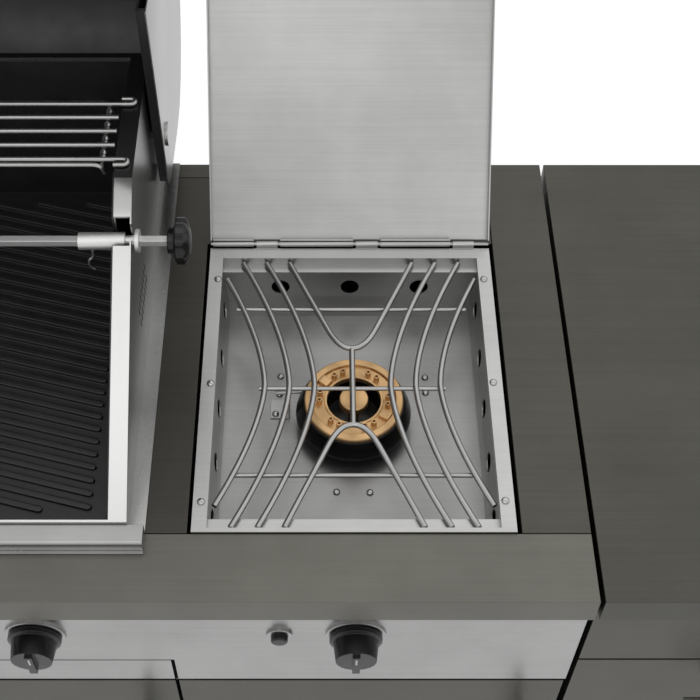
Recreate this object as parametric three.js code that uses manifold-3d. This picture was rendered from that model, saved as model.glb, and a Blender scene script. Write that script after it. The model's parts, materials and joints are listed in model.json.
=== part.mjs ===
// Outdoor kitchen island: a steel module with a built-in gas grill and a drop-in side burner, and a
// drawer module beside it. Millimetres, +Z up, the front faces -Y and the floor is Z = 0.
// X runs from the left end of the worktop and Y from its front edge until the last step centres both.

import * as THREE from 'three';
import { mergeVertices } from 'three/addons/utils/BufferGeometryUtils.js';
import Module from 'manifold-3d';

const wasm = await Module();
wasm.setup();

// Seats and cuts
const fit = 0.3;
const overrun = 6;
const weldDistance = 0.0001;

// Worktop panels
const worktop = {
  height: 900,
  depth: 600,
  edge: 40,
  sheet: 2,
  seam: 0.6,
  frontStrip: 76,
  backStrip: 23,
  sideStrip: 70,
  middleStrip: 42.4,
  moduleGap: 4.6,
};

// Carcass of folded sheet under both modules
const carcass = {
  sheet: 2,
  frontInset: 35,
  backInset: 5,
  stile: 18,
  storageStile: 12,
  flange: 16,
  rail: 40,
  floorEdge: 18,
  plinth: 100,
  plinthFrontInset: 85,
  plinthSideInset: 20,
  plinthBoard: 16,
  dividerWidth: 16,
};

// Fronts: the control panel, the tray strip, doors and drawers
const front = {
  inset: 15,
  thickness: 17,
  sheet: 1.5,
  gap: 4,
  lineGap: 2,
  endInset: 1.5,
  panelHeight: 130,
  trayHeight: 50,
  drainSlot: 40,
  drainWidth: 6,
};
const hinge = { pin: 3, inset: 7, lug: 3, lugReach: 10 };
const handle = {
  bar: 6, post: 4, standoff: 32, postInset: 30, doorLength: 300, drawerLength: 400, edge: 40,
};
const storage = {
  width: 640, drawerSheet: 1.5, drawerDepth: 500, ledge: 14, ledgeHeight: 10, boxLow: 28, boxHigh: 24,
};
const drawerHeightShares = [0.17, 0.415, 0.415];

// Built-in grill
const grill = {
  width: 760,
  lap: 14,
  flange: 2,
  flangeFront: 52,
  hem: 42,
  cheekGap: 2.5,
  cheek: 18.5,
  cheekSheet: 1.5,
  capSheet: 2,
  frontWall: 78,
  backWall: 574,
  frontRim: 20,
  rimHeight: 200,
  rimBreak: 379.6,
  jacketDepth: 215,
  wall: 2,
  trayMouth: 172,
  lip: 12,
};
const louvre = { width: 3, height: 12, pitch: 9, rowGap: 8, low: 50, middle: 334 };
const louvreCount = 8;
const louvreRows = 2;
const bar = { front: 55.8, back: 77.7, top: 16, sheet: 1.5, round: 4 };
const liner = {
  sheet: 2, rimDrop: 3, frontTop: 14, floor: 150, drainDrop: 16, drain: 16, drainLength: 190,
  ledge: 14, ledgeDrop: 14,
};
const plate = { front: 93, back: 548, width: 336, edgeGap: 4, bottom: 11.7, base: 7.7 };
const rib = { pitch: 16, height: 4, width: 7, sideMargin: 20, endMargin: 12, degrees: 15, phaseShare: 0.12 };
const grate = { bar: 7, pitch: 16, frame: 9, height: 11.7, cross: 8 };
const burnerTube = { radius: 12, bore: 10, mouth: 76, boreDepth: 40, end: 554, drop: 105, pin: 4, taper: 6 };
const gas = {
  pipe: 9, pipeY: 60, valve: 12, valveBack: 62, stem: 3.5, stemFront: -3, nozzle: 5, nozzleReach: 92,
  feed: 5, feedDip: 36,
};
const knob = { radius: 24, skirt: 28, skirtHeight: 5, height: 27, stand: 0.8, bezel: 32, bezelHeight: 3 };
const knobGrip = { width: 8, height: 5 };
const grillKnobs = 4;
const button = { radius: 9, stand: 7, length: 30, bezel: 14, offset: 80 };
const tray = { width: 686, depth: 500, height: 27, sheet: 1.5, slotWidth: 120, slotHeight: 20 };
const rack = {
  wire: 3, loopWire: 2.8, low: 2.6, inset: 12, loopReach: 24, loopWidth: 11.5, firstBar: 406.1, pitch: 20.9,
  crossInset: 24,
};
const rackBars = 5;

// Hood
const hood = {
  openDegrees: 97,
  side: 2,
  sheet: 1.5,
  thickness: 11,
  linerGap: 8,
  rail: 6,
  pivotY: 539.6,
  pivotHeight: 110,
  edgeOffset: 27,
  front: 54,
  shoulder: 190,
  frontLean: 16,
  top: 365,
  topFront: 270,
  topBack: 440,
  back: 604.6,
  backEdge: 205,
  earRound: 18,
  pin: 5,
  boss: 14,
  bossHeight: 3,
  pinReach: 25,
};
const hoodHandle = {
  bar: 10, post: 7, height: 90, standoff: 42, length: 560, postInset: 40, cap: 12, capLength: 12,
};
const gauge = { radius: 34, height: 9, rim: 4, place: 165 };

// Rotisserie
const spit = { y: 331.6, height: 156.4, rod: 8, left: 34, slot: 18, notch: 26 };
const bushing = {
  radius: 9.2, left: 72.23, groove: 6, grooveLength: 9, disc: 12.3, discLength: 4, collarLength: 1.6,
};
const spitKnob = { start: 20, collar: 14, collarLength: 7, radius: 24.5, lobe: 1.6, length: 13, dome: 4 };
const spitKnobLobes = 8;
const lobeSteps = 6;
const thumbscrew = { radius: 2, wire: 1.5, place: 12.3, thread: 8, drop: 32, swing: 6 };
const motor = {
  width: 46, depth: 84, height: 108, left: 10, socket: 6.3, bracket: 3, foot: 36, round: 8, inlet: 7,
};

// Side burner tub
const tub = {
  width: 330,
  depth: 381,
  leftGap: 4,
  rightGap: 5,
  raise: 3,
  sheet: 1.5,
  flange: 15.5,
  frontFlange: 5,
  ledgeDrop: 8,
  backLedge: 12.4,
  frontLedge: 15.8,
  bendDrop: 50,
  draft: 4.2,
  floorDrop: 78,
  floorDraft: 6,
  vent: 10.9,
  ventDrop: 32,
  sideVentPitch: 70,
};
const backVentShares = [0.25, 0.5, 0.75];
const sideVentCount = 5;
const railSupport = { width: 14, web: 30 };
const burner = {
  y: 264.6,
  offset: 2.9,
  foot: 38,
  footHeight: 13,
  neck: 60,
  base: 65.5,
  belly: 19,
  top: 40.5,
  baseTop: 57,
  seat: 4.5,
  low: 7,
  cup: 30.5,
  stem: 15,
  stemDrop: 18,
};
const ring = {
  outer: 55.6, inner: 30.3, height: 9.7, rim: 8, recess: 4, lip: 2.7, lipHeight: 1.5, edge: 1.2,
};
const jet = {
  radius: 3.2, bore: 1.5, circle: 38.7, height: 7, boreDepth: 5,
  pairs: 6, pairDegrees: 8.2, startDegrees: -4,
};
const ringBlock = { inner: 34.5, outer: 46.5, width: 11, height: 4.5 };
const ringBlockDegrees = [142, -31];
const cap = { radius: 16.2, height: 12, post: 6, top: 31 };
const igniter = {
  left: 72.9, right: 95.4, front: 267.9, back: 293.1, height: 40, sheet: 2, rod: 2.5, tip: 14, tipDrop: 6,
};
const trivet = {
  wire: 3.25, crossWire: 2.5, bite: 0.9, offset: 0.9, front: 85.5, back: 440, shortInset: 25, bulge: 1.6,
};
const wireEndShares = [0.438, 0.384, 0.301];
const wireWaistShares = [0.293, 0.211, 0.127];
const loopEndShare = 0.2176;
const loopTipShares = [0.355, 0.645];
const loopWidthShares = [0.72, 0.34];
const loopReachShares = [0.42, 0.88];
const crossPlaceShares = [0.183, 0.498, 0.813];
const crossReachShares = [0.383, 0.311, 0.4];
const lid = {
  height: 12.2, sheet: 1.5, openDegrees: 131.4, hingeBack: 4.2, hingeRaise: 6, knuckle: 3.5, pin: 2,
};
const tubKnuckleShares = [[0.165, 0.24], [0.522, 0.6], [0.87, 0.945]];
const lidKnuckleShares = [[0.01, 0.155], [0.25, 0.512], [0.61, 0.86]];

// Round shapes
const fine = 32;
const round = 20;
const small = 12;
const wireSides = 6;
const curveSteps = 14;
const arcSteps = 6;

// Places worked out from the sizes above
const deck = worktop.height;
const under = deck - worktop.edge;
const grillLeft = worktop.sideStrip;
const grillRight = grillLeft + grill.width;
const middleStripLeft = grillRight - grill.lap;
const middleStripRight = grillRight + worktop.middleStrip;
const tubLeft = middleStripRight + tub.leftGap;
const tubRight = tubLeft + tub.width;
const tubFront = worktop.frontStrip + fit;
const tubBack = tubFront + tub.depth;
const rightStripLeft = tubRight + tub.rightGap;
const moduleRight = rightStripLeft + worktop.sideStrip;
const storageLeft = moduleRight + worktop.moduleGap;
const storageRight = storageLeft + storage.width;
const carcassTop = under - fit;
const carcassBack = worktop.depth - carcass.backInset;
const floorBottom = carcass.plinth + fit;
const floorTop = floorBottom + carcass.floorEdge;
const wallBottom = floorTop + fit;
const dividerCentre = grillRight + carcass.dividerWidth;
const frontBack = front.inset + front.thickness;
const panelBottom = carcassTop - front.panelHeight;
const trayFrontTop = panelBottom - front.lineGap;
const trayFrontBottom = trayFrontTop - front.trayHeight;
const upperLugTop = trayFrontBottom - front.lineGap;
const upperLug = upperLugTop - hinge.lug;
const doorTop = upperLugTop - hinge.lug - fit;
const doorBottom = floorBottom + hinge.lug + fit;
const hingeY = front.inset + hinge.inset;
const cheekLeft = grillLeft + grill.lap + grill.cheekGap;
const cheekRight = grillRight - grill.lap - grill.cheekGap;
const cavityLeft = cheekLeft + grill.cheek;
const cavityRight = cheekRight - grill.cheek;
const valveHeight = deck - burnerTube.drop;
const burnerX = tubLeft + tub.width / 2 + burner.offset;
const tubFloor = deck - tub.floorDrop;

// Surfaces
const metal = (color, roughness) => new THREE.MeshStandardMaterial({ color, roughness, metalness: 1 });
const coated = (color, roughness) => new THREE.MeshStandardMaterial({ color, roughness, metalness: 0 });
const gunmetal = metal(0x5a5852, 0.38);
const stainless = metal(0xc4c4c2, 0.32);
const polished = metal(0xdcdcda, 0.18);
const enamel = coated(0x101010, 0.45);
const castIron = coated(0x171717, 0.6);
const brass = metal(0xc49a62, 0.4);
const blackPlastic = coated(0x0c0c0d, 0.25);
const carcassPaint = coated(0x3a3935, 0.55);

// Solids
const weld = (geometry) => {
  const loose = geometry.index ? geometry.toNonIndexed() : geometry;
  const points = new THREE.BufferGeometry();
  points.setAttribute('position', loose.getAttribute('position'));
  return mergeVertices(points, weldDistance);
};

const solidOf = (geometry) => {
  const welded = weld(geometry);
  const corners = welded.index.array;
  const forward = [];
  const backward = [];
  for (let i = 0; i < corners.length; i += 3) {
    const [a, b, c] = [corners[i], corners[i + 1], corners[i + 2]];
    if (a !== b && b !== c && c !== a) {
      forward.push(a, b, c);
      backward.push(a, c, b);
    }
  }
  const vertProperties = welded.getAttribute('position').array;
  const make = (list) => new wasm.Manifold(
    new wasm.Mesh({ numProp: 3, vertProperties, triVerts: new Uint32Array(list) }),
  );
  const solid = make(forward);
  return solid.volume() < 0 ? make(backward) : solid;
};

const join = (...solids) => solids.flat(Infinity).reduce((whole, next) => whole.add(next));
const cut = (solid, ...tools) => tools.flat(Infinity).reduce((rest, tool) => rest.subtract(tool), solid);

// A solid through rectangles at rising heights
const frame = (x0, x1, y0, y1, z) => ({ x0, x1, y0, y1, z });
const stack = (frames) => {
  const positions = frames.flatMap(({ x0, x1, y0, y1, z }) => [x0, y0, z, x1, y0, z, x1, y1, z, x0, y1, z]);
  const faces = [0, 2, 1, 0, 3, 2];
  const last = (frames.length - 1) * 4;
  faces.push(last, last + 1, last + 2, last, last + 2, last + 3);
  for (let level = 0; level < frames.length - 1; level += 1) {
    for (let side = 0; side < 4; side += 1) {
      const a = level * 4 + side;
      const b = level * 4 + (side + 1) % 4;
      faces.push(a, b, b + 4, a, b + 4, a + 4);
    }
  }
  const geometry = new THREE.BufferGeometry();
  geometry.setAttribute('position', new THREE.Float32BufferAttribute(positions, 3));
  geometry.setIndex(faces);
  return solidOf(geometry);
};

const box = (x0, x1, y0, y1, z0, z1) => stack([frame(x0, x1, y0, y1, z0), frame(x0, x1, y0, y1, z1)]);

// An outline drawn in the plane across an axis: Y and Z across X, X and Z across Y, X and Y across Z
const planes = {
  x: (u, v, along) => [along, u, v],
  y: (u, v, along) => [u, along, v],
  z: (u, v, along) => [u, v, along],
};

const prism = (outline, axis, low, high) => {
  const points = outline.map(([u, v]) => new THREE.Vector2(u, v));
  const geometry = new THREE.ExtrudeGeometry(new THREE.Shape(points), { depth: 1, bevelEnabled: false });
  const position = geometry.getAttribute('position');
  for (let i = 0; i < position.count; i += 1) {
    const along = position.getZ(i) < 0.5 ? low : high;
    position.setXYZ(i, ...planes[axis](position.getX(i), position.getY(i), along));
  }
  return solidOf(geometry);
};

const up = new THREE.Vector3(0, 1, 0);
const place = (geometry, origin, direction) => {
  const turn = new THREE.Quaternion().setFromUnitVectors(up, direction.clone().normalize());
  geometry.applyQuaternion(turn);
  geometry.translate(origin.x, origin.y, origin.z);
  return solidOf(geometry);
};

const at = (x, y, z) => new THREE.Vector3(x, y, z);
const axes = { x: at(1, 0, 0), y: at(0, 1, 0), z: at(0, 0, 1), front: at(0, -1, 0) };

const turned = (profile, origin, direction, sides = round) => {
  const points = profile.map(([radius, along]) => new THREE.Vector2(radius, along));
  return place(new THREE.LatheGeometry([...points, points[0]], sides, Math.PI / sides), origin, direction);
};

const circle = (radius, sides, x = 0, y = 0) => Array.from({ length: sides }, (_, i) => {
  const angle = (i + 0.5) / sides * 2 * Math.PI;
  return [x + Math.cos(angle) * radius, y + Math.sin(angle) * radius];
});

// A round rod: a prism where it runs along an axis, a turned cylinder where it slants
const rod = (from, to, radius, sides = small) => {
  const along = to.clone().sub(from);
  const [axis, ...rest] = ['x', 'y', 'z'].filter((name) => Math.abs(along[name]) > weldDistance);
  if (rest.length === 0) {
    const [u, v] = { x: ['y', 'z'], y: ['x', 'z'], z: ['x', 'y'] }[axis];
    const ends = [from[axis], to[axis]].sort((a, b) => a - b);
    return prism(circle(radius, sides, from[u], from[v]), axis, ...ends);
  }
  const geometry = new THREE.CylinderGeometry(radius, radius, along.length(), sides);
  geometry.translate(0, along.length() / 2, 0);
  return place(geometry, from, along);
};

const wire = (points, radius, steps = curveSteps, sides = wireSides) => {
  const path = new THREE.CatmullRomCurve3(points, false, 'centripetal');
  const section = new THREE.Shape(circle(radius, sides).map(([x, y]) => new THREE.Vector2(x, y)));
  return solidOf(new THREE.ExtrudeGeometry(section, { steps, extrudePath: path, bevelEnabled: false }));
};

// A closed outline moved inwards by a distance, corner by corner
const inset = (outline, distance) => outline.map((point, i) => {
  const before = outline[(i + outline.length - 1) % outline.length];
  const after = outline[(i + 1) % outline.length];
  const d1 = new THREE.Vector2(point[0] - before[0], point[1] - before[1]).normalize();
  const d2 = new THREE.Vector2(after[0] - point[0], after[1] - point[1]).normalize();
  const reach = distance / (1 + d1.dot(d2));
  return [point[0] - (d1.y + d2.y) * reach, point[1] + (d1.x + d2.x) * reach];
});

const arc = (x, y, radius, start, end, steps = arcSteps) => Array.from({ length: steps + 1 }, (_, i) => {
  const angle = start + (end - start) * i / steps;
  return [x + Math.cos(angle) * radius, y + Math.sin(angle) * radius];
});

const quarter = Math.PI / 2;
const rounded = (u0, u1, v0, v1, radius) => [
  ...arc(u0 + radius, v0 + radius, radius, 2 * quarter, 3 * quarter, arcSteps / 2),
  ...arc(u1 - radius, v0 + radius, radius, 3 * quarter, 4 * quarter, arcSteps / 2),
  ...arc(u1 - radius, v1 - radius, radius, 0, quarter, arcSteps / 2),
  ...arc(u0 + radius, v1 - radius, radius, quarter, 2 * quarter, arcSteps / 2),
];

// A folded tray of sheet, open below, over one rectangle or several that join
const pan = (rectangles, low, high, sheet) => {
  const outer = rectangles.map(([x0, x1, y0, y1]) => box(x0, x1, y0, y1, low, high));
  const inner = rectangles.map(([x0, x1, y0, y1]) => (
    box(x0 + sheet, x1 - sheet, y0 + sheet, y1 - sheet, low - overrun, high - sheet)
  ));
  return cut(join(outer), join(inner));
};

// A double-skinned front panel with a drain slot in its lower edge
const skinned = (x0, x1, z0, z1) => {
  const middle = (x0 + x1) / 2;
  const across = (front.inset + frontBack) / 2;
  const cavity = box(
    x0 + front.sheet, x1 - front.sheet, front.inset + front.sheet, frontBack - front.sheet,
    z0 + front.sheet, z1 - front.sheet,
  );
  const slot = box(
    middle - front.drainSlot / 2, middle + front.drainSlot / 2,
    across - front.drainWidth / 2, across + front.drainWidth / 2,
    z0 - overrun, z0 + front.sheet * 2,
  );
  return cut(box(x0, x1, front.inset, frontBack, z0, z1), cavity, slot);
};

// Scene graph
const assembly = new THREE.Group();

const pivot = (name, origin) => {
  const group = new THREE.Group();
  group.name = name;
  group.position.copy(origin);
  assembly.add(group);
  return group;
};

const add = (name, solid, material, group = assembly) => {
  const data = solid.getMesh();
  const geometry = new THREE.BufferGeometry();
  geometry.setAttribute('position', new THREE.BufferAttribute(data.vertProperties, 3));
  geometry.setIndex(new THREE.BufferAttribute(data.triVerts, 1));
  geometry.computeVertexNormals();
  const mesh = new THREE.Mesh(geometry, material);
  mesh.name = name;
  if (group !== assembly) mesh.position.copy(group.position).negate();
  group.add(mesh);
  return mesh;
};

// Worktop panels
const panelRows = worktop.frontStrip + worktop.seam;
const backRow = worktop.depth - worktop.backStrip;
const leftStripRight = grillLeft + grill.lap;
const panel = (name, ...rectangles) => add(name, pan(rectangles, under, deck, worktop.sheet), gunmetal);
panel('worktop_front_strip', [0, moduleRight, 0, worktop.frontStrip]);
panel('worktop_left_strip', [0, leftStripRight, panelRows, worktop.depth]);
panel(
  'worktop_middle_strip', [middleStripLeft, middleStripRight, panelRows, backRow],
  [middleStripLeft, rightStripLeft - worktop.seam, tubBack + lid.hingeBack * 2 + lid.sheet, backRow],
);
panel('worktop_right_strip', [rightStripLeft, moduleRight, panelRows, worktop.depth]);
panel(
  'worktop_back_strip',
  [middleStripLeft, rightStripLeft - worktop.seam, backRow + worktop.seam, worktop.depth],
);
panel('storage_worktop', [storageLeft, storageRight, 0, worktop.depth]);

// Carcasses: walls, folded front stiles and top flanges in one sheet-metal shell, open at the front
const shellOf = (left, right, stile, bottom, rail) => {
  const y0 = carcass.frontInset;
  const y1 = carcassBack;
  const s = carcass.sheet;
  const frontEdge = rail > 0 ? y0 + carcass.flange : y0 - overrun;
  const frontTop = rail > 0 ? carcassTop - rail : carcassTop + overrun;
  return cut(
    box(left, right, y0, y1, bottom, carcassTop),
    box(left + s, right - s, y0 + s, y1 - s, bottom - overrun, carcassTop - s),
    box(left + stile, right - stile, y0 - overrun, y0 + carcass.flange, bottom - overrun, frontTop),
    box(
      left + carcass.flange, right - carcass.flange, frontEdge, y1 - carcass.flange,
      carcassTop - s - overrun, carcassTop + overrun,
    ),
  );
};

const floorOf = (left, right) => (
  pan([[left, right, carcass.frontInset, carcassBack]], floorBottom, floorTop, carcass.sheet)
);

const plinthOf = (left, right) => {
  const x0 = left + carcass.plinthSideInset;
  const x1 = right - carcass.plinthSideInset;
  const y0 = carcass.plinthFrontInset;
  const y1 = carcassBack - carcass.plinthSideInset;
  const board = carcass.plinthBoard;
  const top = floorTop - carcass.sheet - fit;
  return cut(
    box(x0, x1, y0, y1, 0, top),
    box(x0 + board, x1 - board, y0 + board, y1 - board, -overrun, top + overrun),
  );
};

// A hinge lug with the hole that a door's pin turns in, kept inside the module's ends
const lugOf = (x, low, high = low + hinge.lug) => cut(
  box(
    Math.max(x - hinge.lugReach, fit), Math.min(x + hinge.lugReach, moduleRight - fit),
    front.inset + front.sheet, carcass.frontInset + carcass.sheet / 2, low, high,
  ),
  rod(at(x, hingeY, low - overrun), at(x, hingeY, high + overrun), hinge.pin + fit),
);

const bayLeft = front.endInset;
const bayRight = dividerCentre - front.gap / 2;
const bayMiddle = (bayLeft + bayRight) / 2;
const burnerBayLeft = dividerCentre + front.gap / 2;
const burnerBayRight = moduleRight - front.endInset;
const leftHingeX = bayLeft + hinge.inset;
const rightHingeX = bayMiddle + front.gap / 2 + hinge.inset;
const burnerHingeX = burnerBayLeft + hinge.inset;
const hingeColumns = [leftHingeX, rightHingeX, burnerHingeX];

// The grill module's shell also carries the two rails that the tub stands on
const tubRail = (edge, inward) => {
  const [x0, x1] = [edge, edge + inward * railSupport.width].sort((a, b) => a - b);
  const [w0, w1] = [edge, edge + inward * carcass.sheet].sort((a, b) => a - b);
  const top = carcassTop - fit;
  const y0 = carcass.frontInset + carcass.sheet / 2;
  const y1 = carcassBack - carcass.sheet / 2;
  return join(
    box(x0, x1, y0, y1, top - carcass.sheet, top),
    box(w0, w1, y0, y1, top - railSupport.web, top),
  );
};
const dividerLeft = dividerCentre - carcass.dividerWidth / 2;
const dividerRight = dividerCentre + carcass.dividerWidth / 2;
const trayRailFront = carcass.frontInset + fit;
const trayRailLow = upperLugTop - carcass.rail;
add('grill_cabinet_shell', join(
  shellOf(0, moduleRight, carcass.stile, wallBottom, carcass.rail),
  tubRail(tubLeft - fit * 2, 1),
  tubRail(tubRight + fit * 2, -1),
  box(
    carcass.sheet / 2, dividerLeft - fit, trayRailFront, trayRailFront + carcass.sheet,
    trayRailLow, upperLugTop - fit,
  ),
  box(
    bayMiddle - carcass.flange / 2, bayMiddle + carcass.flange / 2,
    carcass.frontInset, carcass.frontInset + carcass.sheet, wallBottom, trayRailLow + carcass.sheet,
  ),
  lugOf(leftHingeX, upperLug),
  lugOf(rightHingeX, upperLug),
), carcassPaint);
add('grill_cabinet_floor', join(
  floorOf(0, moduleRight),
  hingeColumns.map((x) => lugOf(x, floorBottom + fit, floorBottom + hinge.lug)),
), carcassPaint);
add('grill_plinth', plinthOf(0, moduleRight), blackPlastic);

const dividerTop = carcassTop - carcass.sheet - fit;
const dividerFront = carcass.frontInset + carcass.flange + fit;
const dividerBack = carcassBack - carcass.sheet - fit;
const railBottom = carcassTop - carcass.rail - fit;
const pipePass = gas.pipe + fit * 4;
const dividerWall = [dividerCentre - carcass.sheet / 2, dividerCentre + carcass.sheet / 2];
const lowerFront = carcass.frontInset + carcass.sheet / 2;
add('grill_cabinet_divider', cut(join(
  cut(
    box(...dividerWall, lowerFront, dividerBack, wallBottom + fit, dividerTop - carcass.sheet / 2),
    box(dividerLeft, dividerRight, lowerFront - overrun, dividerFront, railBottom, dividerTop + overrun),
  ),
  box(
    dividerLeft, dividerRight, carcass.frontInset, carcass.frontInset + carcass.sheet,
    wallBottom, railBottom - fit,
  ),
  box(
    dividerLeft, dividerRight, dividerFront + fit, dividerBack - carcass.flange,
    dividerTop - carcass.sheet, dividerTop,
  ),
  lugOf(burnerHingeX, upperLug),
), box(
  dividerLeft - overrun, dividerRight + overrun, carcass.frontInset - overrun, gas.pipeY + pipePass,
  valveHeight - pipePass, valveHeight + pipePass,
)), carcassPaint);

// Control panel with bezels, over both bays, folded down beside the tray strip over the burner bay
const knobPitch = (cavityRight - cavityLeft) / grillKnobs;
const knobX = Array.from({ length: grillKnobs }, (_, i) => cavityLeft + (i + 0.5) * knobPitch);
const buttonX = burnerX - button.offset;
const panelBack = carcass.frontInset - fit;
const bezel = (x, radius) => turned([
  [0, 0], [radius, 0], [radius, knob.bezelHeight - fit], [radius - fit * 3, knob.bezelHeight],
  [0, knob.bezelHeight],
], at(x, front.inset, valveHeight), axes.front);
const stemHole = (x, radius, sides) => rod(
  at(x, front.inset - knob.bezelHeight - overrun, valveHeight),
  at(x, front.inset + front.sheet + overrun, valveHeight), radius, sides,
);
const panelFace = [
  [0, panelBottom], [burnerBayLeft, panelBottom], [burnerBayLeft, trayFrontBottom],
  [moduleRight, trayFrontBottom], [moduleRight, carcassTop], [0, carcassTop],
];
add('control_panel', cut(
  join(
    cut(
      prism(panelFace, 'y', front.inset, panelBack),
      prism(inset(panelFace, front.sheet), 'y', front.inset + front.sheet, panelBack + overrun),
    ),
    [...knobX, burnerX].map((x) => bezel(x, knob.bezel)),
    bezel(buttonX, button.bezel),
  ),
  [...knobX, burnerX].map((x) => stemHole(x, gas.stem + fit, small)),
  stemHole(buttonX, button.radius + fit, round),
), stainless);

// Doors, each with two pins, and their bar handles
const barHandle = (from, to) => {
  const barY = front.inset - handle.standoff;
  const postReach = to.clone().sub(from).setLength(handle.postInset);
  const posts = [from.clone().add(postReach), to.clone().sub(postReach)];
  return join(
    rod(from.clone().setY(barY), to.clone().setY(barY), handle.bar, small),
    posts.map((p) => rod(p.clone().setY(barY), p.clone().setY(front.inset - fit), handle.post, wireSides)),
  );
};

const pinAt = (x, z) => rod(at(x, hingeY, z - hinge.lug), at(x, hingeY, z + hinge.lug), hinge.pin);
const door = (name, x0, x1, hingeX) => {
  const group = pivot(`${name}_hinge`, at(hingeX, hingeY, doorBottom));
  const pins = [doorTop, doorBottom].map((z) => pinAt(hingeX, z));
  add(name, join(skinned(x0, x1, doorBottom, doorTop), pins), gunmetal, group);
  const handleX = x1 - handle.edge;
  const handleTop = doorTop - handle.edge;
  const bar = barHandle(at(handleX, 0, handleTop - handle.doorLength), at(handleX, 0, handleTop));
  add(`${name}_handle`, bar, stainless, group);
};
door('left_door', bayLeft, bayMiddle - front.gap / 2, leftHingeX);
door('right_door', bayMiddle + front.gap / 2, bayRight, rightHingeX);
door('burner_bay_door', burnerBayLeft, burnerBayRight, burnerHingeX);

// Storage module: shell with runner ledges, floor, plinth and three drawers
const frontRoom = carcassTop - doorBottom - front.gap * (drawerHeightShares.length - 1);
const drawers = [];
let drawerTop = carcassTop;
for (const share of drawerHeightShares) {
  const height = frontRoom * share;
  drawers.push({ low: drawerTop - height, high: drawerTop });
  drawerTop -= height + front.gap;
}
const drawerNames = ['top_drawer', 'middle_drawer', 'bottom_drawer'];
const runnerTop = ({ low, high }) => (low + storage.boxLow + high - storage.boxHigh) / 2;
const boxBack = frontBack + storage.drawerDepth;
const ledges = drawers.map((drawer) => {
  const z = runnerTop(drawer);
  const wall = carcass.storageStile + storage.ledge;
  const seat = carcass.sheet / 2;
  const low = z - storage.ledgeHeight;
  return [
    box(storageLeft + seat, storageLeft + wall, carcass.frontInset + fit, boxBack, low, z),
    box(storageRight - wall, storageRight - seat, carcass.frontInset + fit, boxBack, low, z),
  ];
});
add('storage_cabinet_shell', join(
  shellOf(storageLeft, storageRight, carcass.storageStile, floorTop - carcass.sheet / 2, 0),
  floorOf(storageLeft, storageRight),
  ledges,
), carcassPaint);
add('storage_plinth', plinthOf(storageLeft, storageRight), blackPlastic);

drawers.forEach((drawer, i) => {
  const name = drawerNames[i];
  const group = pivot(`${name}_slide`, at(storageLeft, front.inset, drawer.low));
  const x0 = storageLeft + carcass.storageStile + storage.ledge + fit * 2;
  const x1 = storageRight - carcass.storageStile - storage.ledge - fit * 2;
  const z0 = drawer.low + storage.boxLow;
  const z1 = drawer.high - storage.boxHigh;
  const s = storage.drawerSheet;
  const z = runnerTop(drawer) + fit;
  const tubBox = cut(
    box(x0, x1, frontBack - s, boxBack, z0, z1),
    box(x0 + s, x1 - s, frontBack - fit, boxBack - s, z0 + s, z1 + overrun),
  );
  const wing = storage.ledge - fit;
  const wings = [
    box(x0 - wing, x0 + s, frontBack - s, boxBack, z, z + s),
    box(x1 - s, x1 + wing, frontBack - s, boxBack, z, z + s),
  ];
  const face = skinned(storageLeft + front.endInset, storageRight - front.endInset, drawer.low, drawer.high);
  add(name, join(face, tubBox, wings), gunmetal, group);
  const middle = (storageLeft + storageRight) / 2;
  const handleZ = drawer.high - handle.edge;
  add(`${name}_handle`, barHandle(
    at(middle - handle.drawerLength / 2, 0, handleZ), at(middle + handle.drawerLength / 2, 0, handleZ),
  ), stainless, group);
});

// Grill housing: double-walled cheeks with a sloping rim, a flange on the worktop and the tray's lips
const jacketBottom = deck - grill.jacketDepth;
const sideProfile = (low, drop, y0, y1) => [
  [y0, low],
  [y1, low],
  [y1, deck + grill.rimHeight - drop],
  [grill.rimBreak, deck + grill.rimHeight - drop],
  [y0, deck + grill.frontRim - drop],
];
const spitZ = deck + spit.height;
const spitPoint = (x) => at(x, spit.y, spitZ);
const hoodPivot = at(0, hood.pivotY, deck + hood.pivotHeight);
const pinHole = (x0, x1, radius) => rod(
  at(x0, hood.pivotY, hoodPivot.z), at(x1, hood.pivotY, hoodPivot.z), radius, small,
);
const notchFor = (x0, x1, radius, seat) => join(
  box(x0, x1, spit.y - radius, spit.y + radius, spitZ - seat + radius, deck + grill.rimHeight + overrun),
  rod(at(x0, spit.y, spitZ - seat + radius), at(x1, spit.y, spitZ - seat + radius), radius, round),
);
const outerSheet = grill.cheekSheet;
const hollow = (x0, x1) => prism(sideProfile(
  jacketBottom - overrun, grill.capSheet, grill.frontWall + grill.wall, grill.backWall - grill.wall,
), 'x', x0, x1);
const innerFront = grill.frontWall + grill.wall;
const linerBack = grill.backWall - grill.wall * 4;
const louvres = (x0, x1) => {
  const slits = [];
  for (let row = 0; row < louvreRows; row += 1) {
    for (let i = 0; i < louvreCount; i += 1) {
      const y = louvre.middle + (i - (louvreCount - 1) / 2) * louvre.pitch;
      const z = deck + louvre.low + row * (louvre.height + louvre.rowGap);
      slits.push(box(x0, x1, y - louvre.width / 2, y + louvre.width / 2, z, z + louvre.height));
    }
  }
  return slits;
};
const burnerHoles = (y0, y1, radius) => knobX.map((x) => (
  rod(at(x, y0, valveHeight), at(x, y1, valveHeight), radius)
));
const notchHalf = spit.notch / 2;
const grooveSeat = bushing.groove + fit;
const trayLip = (x0, x1) => box(
  x0, x1, innerFront, linerBack - grill.wall, jacketBottom + fit, jacketBottom + grill.wall,
);
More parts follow.
